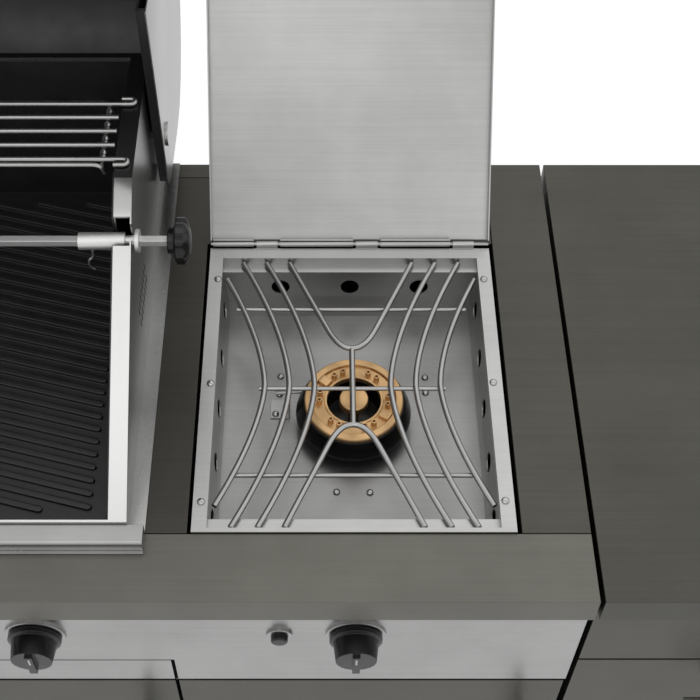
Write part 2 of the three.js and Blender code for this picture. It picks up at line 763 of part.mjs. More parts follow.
add('grill_housing', join(
  cut(
    join(
      prism(sideProfile(jacketBottom, 0, grill.frontWall, grill.backWall), 'x', cheekLeft, cheekRight),
      box(grillLeft, grillRight, grill.flangeFront, worktop.depth, deck + fit, deck + fit + grill.flange),
      box(
        leftStripRight + worktop.seam, middleStripLeft - worktop.seam,
        worktop.depth - grill.flange, worktop.depth, deck - grill.hem, deck + fit + grill.flange,
      ),
    ),
    box(
      cavityLeft, cavityRight, innerFront, linerBack,
      jacketBottom - overrun, deck + grill.rimHeight + overrun,
    ),
    box(
      cavityLeft, cavityRight, grill.frontWall - overrun, innerFront + overrun,
      jacketBottom - overrun, deck - grill.trayMouth,
    ),
    hollow(cheekLeft + outerSheet, cavityLeft - outerSheet),
    hollow(cavityRight + outerSheet, cheekRight - outerSheet),
    box(
      cavityLeft - overrun, cavityRight + overrun, linerBack + grill.wall, grill.backWall - grill.wall,
      jacketBottom - overrun, deck + grill.rimHeight - grill.capSheet,
    ),
    notchFor(cheekLeft - overrun, cheekLeft + outerSheet + fit, grooveSeat, grooveSeat),
    notchFor(cheekLeft + outerSheet, cavityLeft + overrun, notchHalf, bushing.radius + fit),
    notchFor(cheekRight - outerSheet - fit, cheekRight + overrun, grooveSeat, grooveSeat),
    notchFor(cavityRight - overrun, cheekRight - outerSheet, notchHalf, bushing.radius + fit),
    pinHole(cheekLeft - overrun, cheekLeft + outerSheet + overrun, hood.pin + fit),
    pinHole(cheekRight - outerSheet - overrun, cheekRight + overrun, hood.pin + fit),
    louvres(cheekLeft - overrun, cheekLeft + outerSheet + overrun),
    louvres(cheekRight - outerSheet - overrun, cheekRight + overrun),
    burnerHoles(grill.frontWall - overrun, innerFront + overrun, burnerTube.radius + fit),
  ),
  trayLip(cavityLeft - outerSheet / 2, cavityLeft + grill.lip),
  trayLip(cavityRight - grill.lip, cavityRight + outerSheet / 2),
), stainless);

const barLow = deck + fit * 2 + grill.flange;
add('grill_front_bar', cut(
  prism([
    [bar.front, barLow], [bar.back, barLow], [bar.back, deck + bar.top],
    ...arc(bar.front + bar.round, deck + bar.top - bar.round, bar.round, quarter, 2 * quarter, arcSteps / 2),
  ], 'x', grillLeft, grillRight),
  box(
    grillLeft + bar.sheet, grillRight - bar.sheet, bar.front + bar.sheet, bar.back - bar.sheet,
    barLow - overrun, deck + bar.top - bar.round,
  ),
), stainless);

// Firebox liner: enamelled, with ledges for the plates and a floor that falls to a drain slot
const linerLeft = cavityLeft + fit;
const linerRight = cavityRight - fit;
const linerFront = innerFront + fit;
const linerRear = linerBack - fit;
const drainY = (linerFront + linerRear) / 2;
const linerOutline = [
  [linerFront, deck - liner.floor],
  [drainY, deck - liner.floor - liner.drainDrop],
  [linerRear, deck - liner.floor],
  [linerRear, deck + grill.rimHeight - liner.rimDrop],
  [grill.rimBreak, deck + grill.rimHeight - liner.rimDrop],
  [linerFront, deck + liner.frontTop],
];
const linerHollow = [
  [linerFront + liner.sheet, deck - liner.floor + liner.sheet],
  [drainY, deck - liner.floor - liner.drainDrop + liner.sheet],
  [linerRear - liner.sheet, deck - liner.floor + liner.sheet],
  [linerRear - liner.sheet, deck + grill.rimHeight + overrun],
  [linerFront + liner.sheet, deck + grill.rimHeight + overrun],
];
const ledgeTop = deck - liner.ledgeDrop + liner.sheet;
add('firebox', cut(
  join(
    cut(
      prism(linerOutline, 'x', linerLeft, linerRight),
      prism(linerHollow, 'x', linerLeft + liner.sheet, linerRight - liner.sheet),
    ),
    box(linerLeft, linerRight, linerFront, plate.front + liner.ledge, ledgeTop - liner.sheet, ledgeTop),
    box(linerLeft, linerRight, plate.back - liner.ledge, linerRear, ledgeTop - liner.sheet, ledgeTop),
  ),
  box(
    (linerLeft + linerRight - liner.drainLength) / 2, (linerLeft + linerRight + liner.drainLength) / 2,
    drainY - liner.drain / 2, drainY + liner.drain / 2,
    deck - liner.floor - liner.drainDrop - overrun, deck - liner.floor,
  ),
  burnerHoles(grill.frontWall, linerFront + liner.sheet + overrun, burnerTube.radius + fit),
  burnerHoles(linerRear - liner.sheet - overrun, linerRear + overrun, burnerTube.pin + fit),
  notchFor(linerLeft - overrun, linerLeft + liner.sheet + overrun, notchHalf, bushing.radius + fit),
  notchFor(linerRight - liner.sheet - overrun, linerRight + overrun, notchHalf, bushing.radius + fit),
), enamel);

// Ribbed hotplate: the ribs slant across the plate and end in half rounds inside its margin
const plateRight = linerRight - liner.sheet - plate.edgeGap;
const plateLeft = plateRight - plate.width;
const plateBottom = deck - plate.bottom;
const plateTop = plateBottom + plate.base;
const slope = Math.tan(THREE.MathUtils.degToRad(rib.degrees));
const ribSolids = [];
const ribRun = plate.width - rib.sideMargin * 2;
const ribRight = plateRight - rib.sideMargin;
const ribFront = plate.front + rib.endMargin;
const ribBack = plate.back - rib.endMargin;
const ribRows = Math.ceil((ribBack - ribFront + ribRun * slope) / rib.pitch);
for (let i = 0; i < ribRows; i += 1) {
  const rightY = ribFront - ribRun * slope + (i + rib.phaseShare) * rib.pitch;
  const ribX = (y) => ribRight - (y - rightY) / slope;
  const startY = Math.max(rightY, ribFront);
  const endY = Math.min(rightY + ribRun * slope, ribBack);
  if ((endY - startY) / slope > rib.pitch) {
    const along = Math.atan2(endY - startY, ribX(endY) - ribX(startY));
    const outline = [
      ...arc(ribX(startY), startY, rib.width / 2, along + quarter, along + 3 * quarter, arcSteps / 2),
      ...arc(ribX(endY), endY, rib.width / 2, along + 3 * quarter, along + 5 * quarter, arcSteps / 2),
    ];
    ribSolids.push(prism(outline, 'z', plateTop - fit, plateTop + rib.height));
  }
}
add('ribbed_hotplate', join(
  box(plateLeft, plateRight, plate.front, plate.back, plateBottom, plateTop),
  ribSolids,
), castIron);

// Open grate on the other half
const grateLeft = linerLeft + liner.sheet + plate.edgeGap;
const grateRight = plateLeft - plate.edgeGap;
const grateInner = grateRight - grateLeft - grate.frame * 2;
const grateBars = Math.floor(grateInner / grate.pitch);
const gratePitch = grateInner / grateBars;
const grateSolids = [
  cut(
    box(grateLeft, grateRight, plate.front, plate.back, plateBottom, plateBottom + grate.height),
    box(
      grateLeft + grate.frame, grateRight - grate.frame, plate.front + grate.frame, plate.back - grate.frame,
      plateBottom - overrun, plateBottom + grate.height + overrun,
    ),
  ),
];
for (let i = 1; i < grateBars; i += 1) {
  const x = grateLeft + grate.frame + i * gratePitch;
  const [low, high] = [plateBottom + grate.bar / 4, plateBottom + grate.height - fit];
  grateSolids.push(prism([
    [x - grate.bar / 4, low], [x + grate.bar / 4, low], [x + grate.bar / 2, high], [x - grate.bar / 2, high],
  ], 'y', plate.front + grate.frame - fit, plate.back - grate.frame + fit));
}
const grateThird = (plate.back - plate.front) / 3;
for (const y of [plate.front + grateThird, plate.back - grateThird]) {
  grateSolids.push(box(
    grateLeft + grate.frame - fit, grateRight - grate.frame + fit, y - grate.cross / 2, y + grate.cross / 2,
    plateBottom + fit, plateBottom + grate.height / 2,
  ));
}
add('grill_grate', join(grateSolids), castIron);

// Tube burners, the manifold with its valves and nozzles, and the feed to the side burner
knobX.forEach((x, i) => {
  const tube = burnerTube;
  add(`tube_burner_${i + 1}`, turned([
    [0, tube.mouth + tube.boreDepth], [tube.bore, tube.mouth + tube.boreDepth], [tube.bore, tube.mouth],
    [tube.radius, tube.mouth], [tube.radius, tube.end - tube.taper], [tube.pin, tube.end],
    [tube.pin, linerRear], [0, linerRear],
  ], at(x, 0, valveHeight), axes.y, small), stainless);
});

const valveFront = front.inset + front.sheet + fit;
const valveX = [...knobX, burnerX];
const feedTop = tubFloor - tub.sheet - burner.stemDrop - fit;
const feedLow = valveHeight - gas.feedDip;
const pipeReach = gas.valve * 2;
const gasPoint = (x, y) => at(x, y, valveHeight);
add('gas_manifold', join(
  rod(gasPoint(knobX[0] - pipeReach, gas.pipeY), gasPoint(burnerX + pipeReach, gas.pipeY), gas.pipe),
  valveX.map((x) => box(
    x - gas.valve, x + gas.valve, valveFront, gas.valveBack,
    valveHeight - gas.valve, valveHeight + gas.valve,
  )),
  valveX.map((x) => rod(gasPoint(x, gas.stemFront), gasPoint(x, valveFront + overrun), gas.stem)),
  knobX.map((x) => rod(gasPoint(x, gas.pipeY), gasPoint(x, gas.nozzleReach), gas.nozzle)),
  wire([
    at(burnerX, gas.pipeY, valveHeight), at(burnerX, gas.pipeY + gas.feedDip, feedLow),
    at(burnerX, burner.y - gas.feedDip - gas.valve, feedLow), at(burnerX, burner.y, valveHeight - gas.valve),
    at(burnerX, burner.y, feedTop),
  ], gas.feed),
), brass);

// Control knobs and the igniter button
const knobSolid = (x) => {
  const face = front.inset - knob.bezelHeight - knob.stand;
  const body = turned([
    [0, 0], [knob.skirt, 0], [knob.skirt, knob.skirtHeight], [knob.radius, knob.skirtHeight + fit * 5],
    [knob.radius - knob.skirtHeight / 2, knob.height], [0, knob.height],
  ], at(x, face, valveHeight), axes.front, round);
  const gripFront = face - knob.height - knobGrip.height;
  const grip = box(
    x - knobGrip.width / 2, x + knobGrip.width / 2, gripFront, face - knob.height + fit,
    valveHeight - knob.radius + knob.skirtHeight, valveHeight + knob.radius - knob.skirtHeight,
  );
  const bore = rod(gasPoint(x, face + overrun), gasPoint(x, gas.stemFront - fit), gas.stem + fit);
  return cut(join(body, grip), bore);
};
valveX.forEach((x, i) => {
  const name = i < knobX.length ? `grill_knob_${i + 1}` : 'burner_knob';
  add(name, knobSolid(x), blackPlastic, pivot(`${name}_turn`, at(x, front.inset, valveHeight)));
});
const buttonFront = front.inset - knob.bezelHeight - button.stand;
const buttonEdge = fit * 5;
add('igniter_button', turned([
  [0, 0], [button.radius, 0], [button.radius, button.length - buttonEdge],
  [button.radius - buttonEdge, button.length], [0, button.length],
], at(buttonX, buttonFront + button.length, valveHeight), axes.front), blackPlastic,
pivot('igniter_button_slide', at(buttonX, buttonFront, valveHeight)));

// Drip tray: a pan on the housing's lips behind a front with a finger slot
const traySlide = pivot('drip_tray_slide', at(bayMiddle, front.inset, trayFrontBottom));
const trayLow = jacketBottom + grill.wall + fit;
const trayHalf = tray.width / 2 - fit;
const trayCentre = (cavityLeft + cavityRight) / 2;
const slotMiddle = (trayFrontBottom + trayFrontTop) / 2 + tray.slotHeight / 2;
add('drip_tray', cut(
  join(
    skinned(bayLeft, bayRight, trayFrontBottom, trayFrontTop),
    cut(
      box(
        trayCentre - trayHalf, trayCentre + trayHalf, frontBack - fit, frontBack + tray.depth,
        trayLow, trayLow + tray.height,
      ),
      box(
        trayCentre - trayHalf + tray.sheet, trayCentre + trayHalf - tray.sheet, frontBack + tray.sheet,
        frontBack + tray.depth - tray.sheet, trayLow + tray.sheet, trayLow + tray.height + overrun,
      ),
    ),
  ),
  prism(rounded(
    trayCentre - tray.slotWidth / 2, trayCentre + tray.slotWidth / 2,
    slotMiddle - tray.slotHeight / 2, slotMiddle + tray.slotHeight / 2, tray.slotHeight / 3,
  ), 'y', front.inset - overrun, front.inset + front.sheet + fit),
), stainless, traySlide);

// Warming rack: bars across the fire, with hairpin ends that lie on the level rims
const rackZ = deck + grill.rimHeight + rack.wire + fit;
const rackLow = rackZ - rack.wire - rack.low + fit * 3;
const rackInner = [cavityLeft + rack.inset, cavityRight - rack.inset];
const rackLoop = (y, side) => {
  const x = side > 0 ? cavityRight : cavityLeft;
  const far = y - rack.loopWidth;
  return wire([
    at(x - side * rack.loopReach, y, rackZ), at(x + side * rack.inset / 2, y, rackZ),
    at(x + side * rack.inset, (y + far) / 2, rackZ), at(x + side * rack.inset / 2, far, rackZ),
    at(x - side * rack.loopReach, far, rackZ),
  ], rack.loopWire, arcSteps * 2, arcSteps);
};
const rackY = Array.from({ length: rackBars }, (_, i) => rack.firstBar + i * rack.pitch);
const rackLast = rackY[rackBars - 1] + rack.loopWidth;
const rackFirst = rackY[0] - rack.loopWidth;
const crossX = [cavityLeft + rack.crossInset, cavityRight - rack.crossInset];
const rackBar = ([x0, x1], y) => rod(at(x0, y, rackZ), at(x1, y, rackZ), rack.wire, arcSteps);
add('warming_rack', join(
  rackY.map((y) => rackBar(rackInner, y)),
  [rackFirst, rackLast].map((y) => rackBar(crossX, y)),
  [1, -1].map((side) => [rackLoop(rackY[0], side), rackLoop(rackLast, side)]),
  crossX.map((x) => rod(at(x, rackFirst, rackLow), at(x, rackLast, rackLow), rack.low, arcSteps)),
), polished);

// Hood, drawn closed and turned open about its pivot
const hoodLeft = grillLeft + hood.side;
const hoodRight = grillRight - hood.side;
const hoodGroup = pivot('hood_hinge', hoodPivot);
hoodGroup.rotation.x = -THREE.MathUtils.degToRad(hood.openDegrees);
const edgeTilt = THREE.MathUtils.degToRad(hood.openDegrees) - quarter;
const edgeHeight = (y) => (
  hoodPivot.z - hood.edgeOffset / Math.cos(edgeTilt) - (hood.pivotY - y) * Math.tan(edgeTilt)
);
const bend = (from, c1, c2, to) => new THREE.CubicBezierCurve(
  ...[from, c1, c2, to].map(([u, v]) => new THREE.Vector2(u, v)),
).getPoints(arcSteps).map((p) => [p.x, p.y]);
const shoulderY = hood.front + hood.frontLean;
const hoodTop = deck + hood.top;
const earY = hood.back - hood.earRound;
const hoodOutline = [
  [hood.front, edgeHeight(hood.front)],
  [earY, edgeHeight(earY)],
  ...arc(earY, edgeHeight(earY) + hood.earRound, hood.earRound, -quarter, 0, arcSteps / 2).slice(1),
  ...bend(
    [hood.back, deck + hood.backEdge + hood.rail],
    [hood.back, deck + (hood.backEdge + hood.top) / 2],
    [(hood.topBack + hood.back) / 2, hoodTop], [hood.topBack, hoodTop],
  ),
  ...bend(
    [hood.topFront, hoodTop], [(hood.topFront + shoulderY) / 2, hoodTop],
    [shoulderY + hood.frontLean / 2, deck + (hood.shoulder + hood.top) / 2],
    [shoulderY, deck + hood.shoulder],
  ),
];
const innerFrontEdge = (gap) => hood.front + gap + hood.sheet / 2;
const mouth = (gap) => [
  [innerFrontEdge(gap), deck - grill.rimHeight],
  [hood.back + overrun, deck - grill.rimHeight],
  [hood.back + overrun, deck + hood.backEdge],
  [shoulderY + gap + hood.sheet, deck + hood.backEdge],
  [innerFrontEdge(gap), edgeHeight(hood.front)],
];
const slotFor = (x0, x1) => join(
  rod(spitPoint(x0), spitPoint(x1), spit.slot, round),
  box(x0, x1, spit.y - spit.slot, spit.y + spit.slot, deck, spitZ),
);
const slots = [
  slotFor(hoodLeft - overrun, hoodLeft + hood.thickness + overrun),
  slotFor(hoodRight - hood.thickness - overrun, hoodRight + overrun),
];
const pivotPoint = (x) => at(x, hood.pivotY, hoodPivot.z);
const studs = [[hoodLeft, 1], [hoodRight, -1]].map(([x, side]) => join(
  rod(pivotPoint(x - side * hood.bossHeight), pivotPoint(x + side * hood.sheet), hood.boss, round),
  rod(pivotPoint(x), pivotPoint(x + side * hood.pinReach), hood.pin),
));
add('hood_outer_shell', join(
  cut(
    prism(hoodOutline, 'x', hoodLeft, hoodRight),
    prism(inset(hoodOutline, hood.sheet), 'x', hoodLeft + hood.sheet, hoodRight - hood.sheet),
    prism(mouth(hood.sheet), 'x', hoodLeft + hood.sheet, hoodRight - hood.sheet),
    slots,
  ),
  studs,
), stainless, hoodGroup);

const linerSkin = hood.sheet + hood.linerGap;
const plateGap = hood.sheet + fit;
const linerInner = [hoodLeft + hood.thickness, hoodRight - hood.thickness];
const linerPlate = (x0, x1) => prism(inset(hoodOutline, plateGap), 'x', x0, x1);
const edgeRail = (x0, x1) => cut(
  prism(inset(hoodOutline, plateGap + fit), 'x', x0, x1),
  prism(inset(hoodOutline, plateGap + hood.rail), 'x', x0 - overrun, x1 + overrun),
).intersect(box(x0 - overrun, x1 + overrun, shoulderY, hood.back + overrun, deck, deck + hood.backEdge));
const seam = hood.sheet / 2;
const rollWidth = [linerInner[0] - seam, linerInner[1] + seam];
add('hood_inner_liner', cut(
  join(
    cut(
      prism(inset(hoodOutline, linerSkin), 'x', ...rollWidth),
      prism(inset(hoodOutline, linerSkin + hood.sheet), 'x', rollWidth[0] - overrun, rollWidth[1] + overrun),
      prism(mouth(linerSkin), 'x', rollWidth[0] - overrun, rollWidth[1] + overrun),
    ),
    linerPlate(linerInner[0] - hood.sheet, linerInner[0]),
    linerPlate(linerInner[1], linerInner[1] + hood.sheet),
    edgeRail(hoodLeft + hood.sheet + fit, linerInner[0] - seam),
    edgeRail(linerInner[1] + seam, hoodRight - hood.sheet - fit),
  ),
  slots,
  [[hoodLeft, 1], [hoodRight, -1]].map(([x, side]) => (
    pinHole(x, x + side * (hood.thickness + overrun), hood.pin + fit)
  )),
), enamel, hoodGroup);

const leanAt = (height) => hood.front + hood.frontLean * (height - (edgeHeight(hood.front) - deck))
  / (hood.shoulder - (edgeHeight(hood.front) - deck));
const handleY = hood.front - hoodHandle.standoff;
const handleZ = deck + hoodHandle.height;
const hoodMiddle = (hoodLeft + hoodRight) / 2;
const handleEnds = [hoodMiddle - hoodHandle.length / 2, hoodMiddle + hoodHandle.length / 2];
const handlePoint = (x, y = handleY) => at(x, y, handleZ);
const postEnd = leanAt(hoodHandle.height) - fit * 3;
add('hood_handle', join(
  rod(handlePoint(handleEnds[0]), handlePoint(handleEnds[1]), hoodHandle.bar, round),
  [[handleEnds[0], 1], [handleEnds[1], -1]].map(([x, side]) => {
    const postX = x + side * hoodHandle.postInset;
    return join(
      rod(handlePoint(x), handlePoint(x + side * hoodHandle.capLength), hoodHandle.cap, round),
      rod(handlePoint(postX), handlePoint(postX, postEnd), hoodHandle.post),
    );
  }),
), stainless, hoodGroup);

const leanAngle = Math.atan2(hood.frontLean, hood.shoulder - (edgeHeight(hood.front) - deck));
const outward = at(0, -Math.cos(leanAngle), Math.sin(leanAngle));
add('hood_thermometer', turned([
  [0, fit], [gauge.radius, fit], [gauge.radius, gauge.height], [gauge.radius - gauge.rim, gauge.height],
  [gauge.radius - gauge.rim, gauge.height - gauge.rim / 2], [0, gauge.height - gauge.rim / 2],
], at(hoodMiddle, leanAt(gauge.place), deck + gauge.place), outward, round), stainless, hoodGroup);

// Rotisserie: square spit, grooved bushing, lobed knob, wire thumbscrew and the geared motor
const spitGroup = pivot('spit_turn', spitPoint(grillRight));
const squareRod = (x0, x1, size) => box(
  x0, x1, spit.y - size / 2, spit.y + size / 2, spitZ - size / 2, spitZ + size / 2,
);
const knobStart = grillRight + spitKnob.start;
const rodEnd = knobStart + spitKnob.collarLength + spitKnob.length / 2;
add('spit_rod', squareRod(spit.left, rodEnd, spit.rod), polished, spitGroup);

const bushingLeft = grillRight - bushing.left;
const grooveStart = cheekRight - bushing.grooveLength + outerSheet;
const discStart = grooveStart + bushing.grooveLength + bushing.collarLength;
const discEnd = discStart + bushing.discLength;
const screwX = bushingLeft + thumbscrew.place;
add('spit_bushing', cut(
  turned([
    [0, bushingLeft], [bushing.radius, bushingLeft], [bushing.radius, grooveStart],
    [bushing.groove, grooveStart], [bushing.groove, discStart], [bushing.disc, discStart],
    [bushing.disc, discEnd], [0, discEnd],
  ], at(0, spit.y, spitZ), axes.x),
  squareRod(bushingLeft - overrun, discEnd + overrun, spit.rod + fit * 2),
  rod(
    at(screwX, spit.y, spitZ - bushing.radius - overrun), at(screwX, spit.y, spitZ),
    thumbscrew.radius + fit,
  ),
), polished, spitGroup);

const lobed = Array.from({ length: spitKnobLobes * lobeSteps }, (_, i) => {
  const angle = i / (spitKnobLobes * lobeSteps) * 2 * Math.PI;
  const radius = spitKnob.radius - spitKnob.lobe * (1 - Math.cos(angle * spitKnobLobes));
  return [spit.y + Math.cos(angle) * radius, spitZ + Math.sin(angle) * radius];
});
const lobeStart = knobStart + spitKnob.collarLength;
const lobeEnd = lobeStart + spitKnob.length;
add('spit_knob', cut(
  join(
    rod(spitPoint(knobStart), spitPoint(lobeStart + fit), spitKnob.collar, round),
    prism(lobed, 'x', lobeStart, lobeEnd),
    turned([
      [0, lobeEnd - fit], [spitKnob.radius - spitKnob.lobe * 2, lobeEnd - fit],
      [spitKnob.radius - spitKnob.lobe * 4, lobeEnd + spitKnob.dome / 2],
      [spitKnob.radius / 2, lobeEnd + spitKnob.dome], [0, lobeEnd + spitKnob.dome],
    ], at(0, spit.y, spitZ), axes.x, round),
  ),
  squareRod(knobStart - overrun, rodEnd + fit, spit.rod + fit * 2),
), blackPlastic, spitGroup);

const screwTop = spitZ - spit.rod / 2 - fit;
const screwLow = spitZ - bushing.radius - thumbscrew.thread / 2;
const thumbscrewGroup = pivot('spit_thumbscrew_turn', at(screwX, spit.y, screwTop));
add('spit_thumbscrew', join(
  rod(at(screwX, spit.y, screwTop), at(screwX, spit.y, screwLow), thumbscrew.radius, wireSides),
  wire([
    at(screwX, spit.y, screwLow + thumbscrew.thread / 4),
    at(screwX, spit.y, screwLow - thumbscrew.drop / 4),
    at(screwX - thumbscrew.swing, spit.y, screwLow - thumbscrew.drop / 2),
    at(screwX - thumbscrew.swing / 2, spit.y, screwLow - thumbscrew.drop),
  ], thumbscrew.wire, curveSteps, arcSteps),
), polished, thumbscrewGroup);

const motorRight = motor.left + motor.width;
const motorLow = spitZ - motor.height / 2;
const bracketBack = motorRight + motor.bracket;
const bracketY = [spit.y - motor.depth / 4, spit.y + motor.depth / 4];
const inletPoint = (y) => at((motor.left + motorRight) / 2, y, motorLow + motor.round * 2);
const motorBack = spit.y + motor.depth / 2;
add('rotisserie_motor', cut(
  join(
    prism(rounded(
      spit.y - motor.depth / 2, motorBack, motorLow, motorLow + motor.height, motor.round,
    ), 'x', motor.left, motorRight),
    box(motorRight - fit, bracketBack, ...bracketY, deck + fit, spitZ + motor.height / 4),
    box(motorRight - motor.foot, bracketBack, ...bracketY, deck + fit, deck + fit + motor.bracket),
  ),
  rod(spitPoint(spit.left - motor.bracket), spitPoint(motorRight + overrun), motor.socket, round),
  rod(inletPoint(motorBack - motor.inlet), inletPoint(motorBack + overrun), motor.inlet),
), blackPlastic);

// Side burner tub: hemmed flange, wire ledges, drafted walls with round vents, hinge knuckles
const tubTop = deck + tub.raise;
const ledgeZ = deck - tub.ledgeDrop;
const wallX = [tubLeft + tub.flange, tubRight - tub.flange];
const shelfY = [tubFront + tub.frontFlange, tubBack - tub.flange];
const wallY = [shelfY[0] + tub.frontLedge, shelfY[1] - tub.backLedge];
const bowlAt = (insetX, insetY, z) => (
  frame(wallX[0] + insetX, wallX[1] - insetX, wallY[0] + insetY, wallY[1] - insetY, z)
);
const bowl = (grow) => stack([
  bowlAt(tub.draft - grow, tub.draft + tub.floorDraft - grow, tubFloor - grow),
  bowlAt(tub.draft - grow, tub.draft - grow, deck - tub.bendDrop),
  bowlAt(-grow, -grow, ledgeZ + fit),
]);
const shelf = (grow) => box(
  wallX[0] - grow, wallX[1] + grow, shelfY[0] - grow, shelfY[1] + grow, ledgeZ - grow,
  grow > 0 ? tubTop : tubTop + overrun,
);
const hingeAxisY = tubBack + lid.hingeBack;
const hingeAxisZ = deck + lid.hingeRaise;
const hingeLinePoint = (share) => at(tubLeft + share * tub.width, hingeAxisY, hingeAxisZ);
const knuckleAt = ([start, end], radius) => rod(hingeLinePoint(start), hingeLinePoint(end), radius);
const sideVentY = Array.from({ length: sideVentCount }, (_, i) => (
  (wallY[0] + wallY[1]) / 2 - tub.draft * 3 + (i - (sideVentCount - 1) / 2) * tub.sideVentPitch
));
const ventZ = deck - tub.ventDrop;
const tubKnuckles = tubKnuckleShares.map((shares) => join(
  knuckleAt(shares, lid.knuckle),
  box(
    ...shares.map((share) => tubLeft + share * tub.width), tubBack - tub.sheet, hingeAxisY,
    hingeAxisZ - lid.knuckle, hingeAxisZ - lid.pin,
  ),
));
add('burner_tub', cut(
  join(
    pan([[tubLeft, tubRight, tubFront, tubBack]], under + fit, tubTop, tub.sheet),
    shelf(tub.sheet),
    bowl(tub.sheet),
    tubKnuckles,
  ),
  shelf(0),
  bowl(0),
  backVentShares.map((share) => tubLeft + tub.width * share).map((x) => rod(
    at(x, wallY[1] - overrun * 2, ventZ), at(x, wallY[1] + overrun, ventZ), tub.vent, round,
  )),
  sideVentY.flatMap((y) => [
    rod(at(wallX[0] - overrun, y, ventZ), at(wallX[0] + overrun * 2, y, ventZ), tub.vent, small),
    rod(at(wallX[1] - overrun * 2, y, ventZ), at(wallX[1] + overrun, y, ventZ), tub.vent, small),
  ]),
  rod(
    at(burnerX, burner.y, tubFloor - overrun * 2), at(burnerX, burner.y, tubFloor + overrun),
    burner.stem + fit, round,
  ),
  knuckleAt([0, 1], lid.pin + fit),
), stainless);

// Burner: cast base with a cup and a seat for the brass ring, jets in pairs, and the centre cap
const baseZ = tubFloor + fit;
const baseHigh = burner.top - fit;
const baseSeat = baseHigh - burner.seat;
const cupFloor = burner.low - fit;
add('burner_base', turned([
  [0, -burner.stemDrop], [burner.stem, -burner.stemDrop], [burner.stem, 0], [burner.foot, 0],
  [burner.foot, burner.footHeight], [burner.neck, burner.footHeight], [burner.base, burner.belly],
  [burner.baseTop, baseHigh], [ring.outer + fit, baseHigh], [ring.outer + fit, baseSeat],
  [burner.cup, baseSeat], [burner.cup, cupFloor], [0, cupFloor],
], at(burnerX, burner.y, baseZ), axes.z, fine), castIron);
const ringZ = baseZ + baseSeat + fit;
const ringFloor = ringZ + ring.height - ring.recess;
const roundBurner = (radius, degrees, z) => {
  const angle = THREE.MathUtils.degToRad(degrees);
  return at(burnerX + Math.cos(angle) * radius, burner.y + Math.sin(angle) * radius, z);
};
const jets = Array.from({ length: jet.pairs * 2 }, (_, i) => {
  const side = i % 2 ? 1 : -1;
  const degrees = jet.startDegrees + Math.floor(i / 2) * 360 / jet.pairs + side * jet.pairDegrees;
  return turned([
    [0, 0], [jet.radius, 0], [jet.radius, jet.height], [jet.bore, jet.height],
    [jet.bore, jet.height - jet.boreDepth], [0, jet.height - jet.boreDepth],
  ], roundBurner(jet.circle, degrees, ringFloor - fit), axes.z, wireSides);
});
const ringBlocks = ringBlockDegrees.map((degrees) => {
  const high = ringFloor + ringBlock.height;
  const quad = [[ringBlock.inner, -1], [ringBlock.outer, -1], [ringBlock.outer, 1], [ringBlock.inner, 1]];
  const corners = quad.map(([radius, side]) => {
    const middle = roundBurner(radius, degrees, 0);
    const across = roundBurner(ringBlock.width / 2 * side, degrees + 90, 0);
    return [middle.x + across.x - burnerX, middle.y + across.y - burner.y];
  });
  return prism(corners, 'z', ringFloor - fit, high);
});
add('burner_ring', join(
  turned([
    [ring.inner, 0], [ring.outer, 0], [ring.outer, ring.height - ring.edge],
    [ring.outer - ring.edge, ring.height], [ring.outer - ring.rim, ring.height],
    [ring.outer - ring.rim, ring.height - ring.recess], [ring.inner + ring.lip, ring.height - ring.recess],
    [ring.inner + ring.lip, ring.height - ring.recess + ring.lipHeight],
    [ring.inner, ring.height - ring.recess + ring.lipHeight],
  ], at(burnerX, burner.y, ringZ), axes.z, fine),
  jets,
  ringBlocks,
), brass);
const capZ = baseZ + cupFloor + fit;
const capHigh = deck - cap.top - capZ;
add('burner_cap', turned([
  [0, 0], [cap.post, 0], [cap.post, capHigh - cap.height], [cap.radius, capHigh - cap.height],
  [cap.radius, capHigh - ring.edge], [cap.radius - ring.edge, capHigh], [0, capHigh],
], at(burnerX, burner.y, capZ), axes.z), brass);

// Igniter: a bracket screwed to the floor and its electrode, which ends over the ring's edge
const bracketLeft = tubLeft + igniter.left;
const bracketRight = tubLeft + igniter.right;
const bracketTop = tubFloor + igniter.height;
const electrodeY = (igniter.front + igniter.back) / 2;
add('burner_igniter', join(
  box(
    bracketLeft, bracketRight - igniter.sheet / 2, igniter.front, igniter.back,
    tubFloor + fit, tubFloor + fit + igniter.sheet,
  ),
  box(
    bracketRight - igniter.sheet, bracketRight, igniter.front + igniter.sheet, igniter.back - igniter.sheet,
    tubFloor + fit * 2, bracketTop,
  ),
  rod(
    at(bracketLeft + igniter.tip / 2, electrodeY, bracketTop - igniter.tipDrop),
    at(bracketRight + igniter.tip, electrodeY, bracketTop - igniter.rod), igniter.rod, wireSides,
  ),
), stainless);

// Trivet: pairs of waisted wires, two loops joined by a middle rod, and three cross wires below
const trivetX = tubLeft + tub.width / 2 + trivet.offset;
const trivetZ = ledgeZ + trivet.wire + fit;
const trivetMiddle = (trivet.front + trivet.back) / 2;
const crossZ = trivetZ - trivet.wire - trivet.crossWire + trivet.bite;
const waisted = (side, i) => {
  const half = (trivet.back - trivet.front) / 2 - (i === 0 ? trivet.shortInset : 0);
  const ends = wireEndShares[i] * tub.width;
  const waist = wireWaistShares[i] * tub.width;
  const last = arcSteps + 2;
  const points = Array.from({ length: last + 1 }, (_, k) => {
    const t = k / last * 2 - 1;
    const x = waist + (ends - waist) * Math.abs(t) ** trivet.bulge;
    return at(trivetX + side * x, trivetMiddle + t * half, trivetZ);
  });
  return wire(points, trivet.wire);
};
const trivetSpan = trivet.back - trivet.front;
const tipY = loopTipShares.map((share) => trivet.front + share * trivetSpan);
